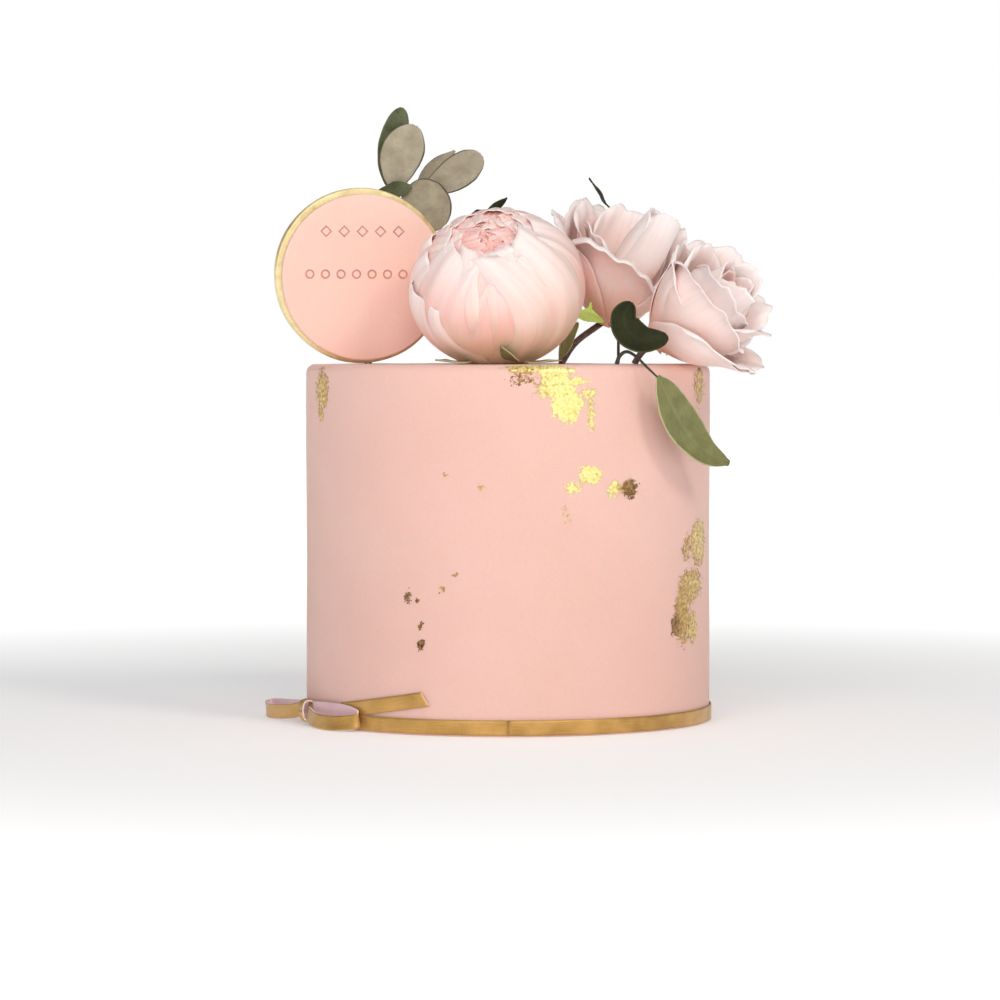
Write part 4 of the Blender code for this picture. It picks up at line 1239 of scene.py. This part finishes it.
def make_roses():
    material = petal_material(
        "rose_petal", (1.0, 0.62, 0.48, 1), (1.0, 0.62, 0.54, 1), (1.0, 0.86, 0.82, 1),
        (1.0, 0.92, 0.91, 1), (0.90, 0.38, 0.30, 1), 0.72,
    )
    for name, base, axis, petals, node in (
        ("rose_left_petals", ROSE_LEFT_BASE, ROSE_LEFT_AXIS,
         rose_petals(4, ROSE_LEFT_PETALS, 1.02, -120, (0.16, 0.0), 0.35, 7, 12), "rose_left"),
        ("rose_right_petals", ROSE_RIGHT_BASE, ROSE_RIGHT_AXIS,
         rose_petals(9, ROSE_RIGHT_PETALS, 0.97, 0, (0.0, 0.0), 1.4, 16, 34), "rose_right"),
    ):
        matrix = flower_frame(base, axis)
        rose = flower_object(name, petals, lambda p, m=matrix: m @ p, material)
        finish_piece(rose, "petal", node)


# Leaves and stalks


def leaf_grid(spine, width, facing, cup=0.12, wave=0.6, blunt=0.75, widest=0.5, stalk=0.10):
    """A leaf along its midrib, in millimetres. facing is the way its upper face looks, cup
    lifts its margins that way, wave ripples its margins, a small blunt gives a broad tip,
    widest is how far along it is widest, and stalk is the least share of its width."""
    centres = smooth_path([Vector(p) * MM for p in spine], LEAF_ROWS - 1)
    grid = []
    for i, centre in enumerate(centres):
        t = i / (LEAF_ROWS - 1)
        ahead = centres[min(i + 1, LEAF_ROWS - 1)] - centres[max(i - 1, 0)]
        side = ahead.cross(Vector(facing)).normalized()
        up = side.cross(ahead).normalized()
        along = t ** (math.log(0.5) / math.log(widest))
        half = width * MM / 2 * max(math.sin(math.pi * along) ** blunt, stalk)
        row = []
        for j in range(LEAF_COLUMNS):
            s = 2 * j / (LEAF_COLUMNS - 1) - 1
            lift = half * cup * s * s
            lift += wave * MM * s * abs(s) * math.sin(3 * math.pi * t + 1.3 * s)
            lift += 0.25 * MM * noise.noise(Vector((s * 2, t * 5, width)))
            lift -= 0.16 * MM * math.exp(-((s / 0.10) ** 2))
            reach = half * s * (1 + 0.03 * noise.noise(Vector((t * 9, s, width))))
            row.append((centre + side * reach + up * lift, (s + 1) / 2, t, leaf_vein(s, t)))
        grid.append(row)
    return grid


def leaf_vein(s, t):
    """How much of a vein there is at a place on a leaf: the midrib, and side veins."""
    midrib = math.exp(-((s / 0.07) ** 2))
    sweep = (t - 0.30 * abs(s)) * 9
    side = math.exp(-(((sweep - round(sweep)) / 0.10) ** 2)) * 0.45 * (1 - abs(s)) ** 0.5
    return max(midrib * (1 - 0.7 * t), side)


def make_leaf(name, spine, width, facing, material, slot, node, **shape):
    grid = leaf_grid(spine, width, facing, **shape)
    leaf = sheets_object(name, [grid], LEAF_THICKNESS, [material], "vein")
    return finish_piece(leaf, slot, node)


def make_stem(name, route, thickness, material, slot, node, tip=1.0):
    """A round stalk along its route, a little knobbly. tip is its end's share of its
    thickness."""
    centres = smooth_path([Vector(p) * MM for p in route], STEM_STEPS)
    points, faces, places = [], [], []
    length = 0.0
    for i, centre in enumerate(centres):
        before, after = centres[max(i - 1, 0)], centres[min(i + 1, STEM_STEPS)]
        length += (centre - before).length
        turn = (after - before).to_track_quat("Z", "Y").to_matrix()
        for k in range(STEM_SIDES):
            angle = 2 * math.pi * k / STEM_SIDES
            radius = thickness * MM / 2 * (1 + (tip - 1) * i / STEM_STEPS)
            radius *= 1 + 0.06 * noise.noise(Vector((k, i * 0.4, thickness)))
            points.append(centre + turn @ Vector((math.cos(angle), math.sin(angle), 0)) * radius)
            places.append((k / STEM_SIDES, length))
    for i in range(STEM_STEPS):
        here, ahead = i * STEM_SIDES, (i + 1) * STEM_SIDES
        for k in range(STEM_SIDES):
            n = (k + 1) % STEM_SIDES
            faces.append((here + k, here + n, ahead + n, ahead + k))
    faces.append(tuple(reversed(range(STEM_SIDES))))
    faces.append(tuple(STEM_STEPS * STEM_SIDES + k for k in range(STEM_SIDES)))
    stem = mesh_object(name, points, faces, material)
    set_map(stem, places)
    stem.data.set_sharp_from_angle(angle=math.radians(50))
    return finish_piece(stem, slot, node)


def make_spray(olive, dark, dark_stalk):
    """The stalk at the front rim, its dark leaf and its hanging leaf."""
    make_stem(
        "spray_stem",
        [(51.6, -79, 176), (53.2, -79, 180), (56.5, -79.4, 182), (61, -81, 179.6),
         (66, -84.5, 174.6), (71.0, -85.0, 169.9)],
        2.1, dark_stalk, "dark_leaf", "spray_stalk", tip=0.45,
    )
    make_leaf(
        "hanging_leaf",
        [(70.6, -85.2, 170.2), (75.2, -83.5, 162), (80.2, -79.5, 152), (86.5, -73.5, 142),
         (95, -67, 134), (106.5, -60, 128.5)],
        19.5, (0.40, -0.88, 0.25), olive, "olive_leaf", "leaf_hanging",
        widest=0.50, blunt=0.62, cup=0.14, wave=0.9, stalk=0.14,
    )
    make_leaf(
        "dark_leaf",
        [(58.4, -82.5, 205.6), (55.0, -81.6, 198), (58.0, -81.6, 190.8), (65, -81.6, 187.4),
         (76.2, -81.6, 188.6)],
        15.0, (0.1, -1, 0.25), dark, "dark_leaf", "leaf_dark", blunt=0.42, cup=0.26, wave=0.4,
    )


def make_sprig(taupe, green, dark_stalk):
    """The sprig behind the plaque."""
    for side, route in (
        ("left", [(-72, 37, 176), (-65, 38, 220), (-59, 36, 262)]),
        ("right", [(-70, 43, 176), (-62.5, 43, 215), (-44.5, 40, 258.6)]),
    ):
        node = f"sprig_stalk_{side}"
        make_stem(f"sprig_stem_{side}", route, 2.1, dark_stalk, "olive_leaf", node)
    leaves = (
        ([(-59.5, 40, 264.5), (-58.6, 42, 285), (-53.6, 43, 305.0)], 15.5, (0.35, -0.9, 0.1),
         green, "dark_leaf", "sprig_leaf_1", {"blunt": 0.45, "cup": 0.2}),
        ([(-57.6, 33, 262.5), (-54.2, 33, 279), (-46.8, 34, 295.6)], 21.5, (0, -1, 0.1),
         taupe, "taupe_leaf", "sprig_leaf_2", {"blunt": 0.5, "cup": 0.16, "widest": 0.58}),
        ([(-46.6, 44, 263), (-38, 45, 273), (-27, 46, 283.6)], 9, (0, -1, 0.2),
         taupe, "dark_leaf", "sprig_leaf_3", {"blunt": 0.8, "cup": 0.2}),
        ([(-42.5, 37, 262.5), (-28, 38, 270.5), (-13.4, 39, 281.0)], 17, (0.1, -1, 0.1),
         taupe, "taupe_leaf", "sprig_leaf_4", {"blunt": 0.42, "cup": 0.18, "widest": 0.62}),
        ([(-50.5, 30, 264.0), (-41, 27, 255.5), (-34.4, 25, 243.0)], 24, (0, -1, 0.1),
         taupe, "taupe_leaf", "sprig_leaf_5", {"blunt": 0.45, "cup": 0.3}),
        ([(-65.5, 32.6, 261.0), (-57, 27.5, 262.4), (-48.5, 27.5, 264.6)], 9, (0, -0.9, 0.4),
         green, "olive_leaf", "sprig_calyx", {"blunt": 0.45, "cup": 0.25}),
    )
    for spine, width, facing, material, slot, node, shape in leaves:
        make_leaf(node + "_blade", spine, width, facing, material, slot, node, **shape)


def make_twig(dark, dark_stalk):
    """The two narrow leaves behind the peony."""
    make_stem("twig_stem", [(-14, 22, 176), (-20, 24, 215), (-18, 22, 246)], 1.5, dark_stalk,
              "dark_leaf", "twig_stalk")
    make_leaf("twig_blade_1", [(-20.5, 20.5, 247), (-16, 19, 250), (-11.5, 18, 252.5)], 5,
              (0.3, 0.5, 0.8), dark, "dark_leaf", "twig_leaf_1", blunt=0.9)
    make_leaf("twig_blade_2", [(-14.6, 24, 246.5), (-8, 24, 252), (-0.5, 24, 259)], 6,
              (0.3, 0.45, 0.8), dark, "dark_leaf", "twig_leaf_2", blunt=0.9)


def make_greens(olive, dark, lime, brown, dark_stalk):
    """The roses' stalks, the leaf behind the left rose, and the sepals."""
    make_stem("rose_left_stem", [(26.2, -13, 176), (33.5, -3, 186.5), (46.4, 13.4, 196)], 3.2, brown,
              "brown_stalk", "rose_left_stalk")
    make_stem("rose_right_stem", [(61.4, -34, 176), (65.5, -34.5, 182), (72, -37, 186.4)], 3.2,
              brown, "brown_stalk", "rose_right_stalk")
    make_stem("spike_stem", [(56, 50, 176), (56, 52, 215), (53.4, 45, 250)], 1.5, dark_stalk,
              "dark_leaf", "spike_stalk")
    make_leaf("spike_blade", [(53.2, 43, 252), (47, 41, 260), (41, 39, 269.4)], 6.5,
              (0.9, 0.1, 0.45), dark, "dark_leaf", "leaf_spike", blunt=0.8, widest=0.6)
    make_leaf("lime_blade", [(40.8, -9, 206), (39.8, -11, 201.5), (38.6, -10, 197)], 18,
              (0.1, -1, 0.2), lime, "lime_sepal", "sepal_lime", widest=0.78, blunt=1.0, wave=0.3)
    make_leaf("long_blade", [(34.4, -9, 196.4), (28.6, -12, 188), (25.4, -15, 177.6)], 7,
              (0.5, -0.8, 0.2), olive, "olive_leaf", "sepal_long", blunt=0.7, cup=0.4)
    sepals = (
        [(-18, -46, 177.0), (-26, -50, 177.1), (-35, -52, 178.0)],
        [(4, -50, 177.2), (0, -55.5, 179.4), (-3.5, -60.5, 184.5)],
        [(8, -47, 177.0), (16, -49, 177.1), (26, -50, 177.8)],
    )
    for n, spine in enumerate(sepals):
        make_leaf(f"peony_blade_{n + 1}", spine, 8, (0, -0.1, 1), olive, "olive_leaf",
                  f"peony_sepal_{n + 1}", cup=0.06, wave=0.2, widest=0.4)


def main():
    make_camera()
    make_stage()
    make_cake()
    make_gold_leaf()
    gold = ribbon_material("gold_ribbon", (0.72, 0.42, 0.125, 1), (0.46, 0.255, 0.055, 1), 0.45, 0.5)
    # The loops' pink insides are a painted reflection.
    painted_reflection = ribbon_material("ribbon_painted_reflection", (0.88, 0.64, 0.67, 1), (0.78, 0.52, 0.56, 1), 0.5, 0.0)
    # The ribbon's pale cut edges are a painted highlight.
    edge_highlight = ribbon_material("ribbon_edge_highlight", (1.0, 0.82, 0.80, 1), (0.95, 0.74, 0.72, 1), 0.5, 0.0)
    make_base_ribbon(gold)
    make_bow(gold, painted_reflection, edge_highlight)
    # The plaque's last colour is painted shade for its pressed marks.
    make_plaque(fondant_material("plaque_fondant", (0.97, 0.65, 0.56, 1), (0.94, 0.61, 0.52, 1),
                                 (0.70, 0.36, 0.28, 1)))
    make_peony()
    make_roses()
    olive = leaf_material("olive_leaf", (0.24, 0.24, 0.095, 1), (0.165, 0.165, 0.065, 1),
                          (0.36, 0.36, 0.19, 1), (0.52, 0.48, 0.27, 1), 0.35, 0.55, 0.05)
    green = leaf_material("green_leaf", (0.14, 0.155, 0.08, 1), (0.06, 0.07, 0.035, 1),
                          (0.16, 0.19, 0.07, 1), (0.12, 0.14, 0.06, 1), 0.6, 0.5, 0.1)
    dark = leaf_material("dark_leaf", (0.030, 0.033, 0.010, 1), (0.016, 0.018, 0.006, 1),
                         (0.05, 0.055, 0.018, 1), (0.07, 0.075, 0.03, 1), 0.5, 0.6, 0.0)
    # The taupe leaves' dark edge colour is painted shade.
    taupe = leaf_material("taupe_leaf", (0.46, 0.405, 0.30, 1), (0.32, 0.275, 0.20, 1),
                          (0.32, 0.28, 0.20, 1), (0.10, 0.095, 0.06, 1), 0.35, 0.7, 0.0)
    lime = leaf_material("lime_sepal", (0.66, 0.92, 0.24, 1), (0.50, 0.74, 0.17, 1),
                         (0.75, 0.78, 0.35, 1), (0.30, 0.42, 0.12, 1), 0.5, 0.5, 0.05)
    brown = stalk_material("brown_stalk", (0.16, 0.10, 0.09, 1), (0.06, 0.035, 0.03, 1))
    dark_stalk = stalk_material("dark_stalk", (0.07, 0.06, 0.035, 1), (0.02, 0.02, 0.012, 1))
    make_spray(olive, dark, dark_stalk)
    make_sprig(taupe, green, dark_stalk)
    make_twig(dark, dark_stalk)
    make_greens(olive, dark, lime, brown, dark_stalk)


main()
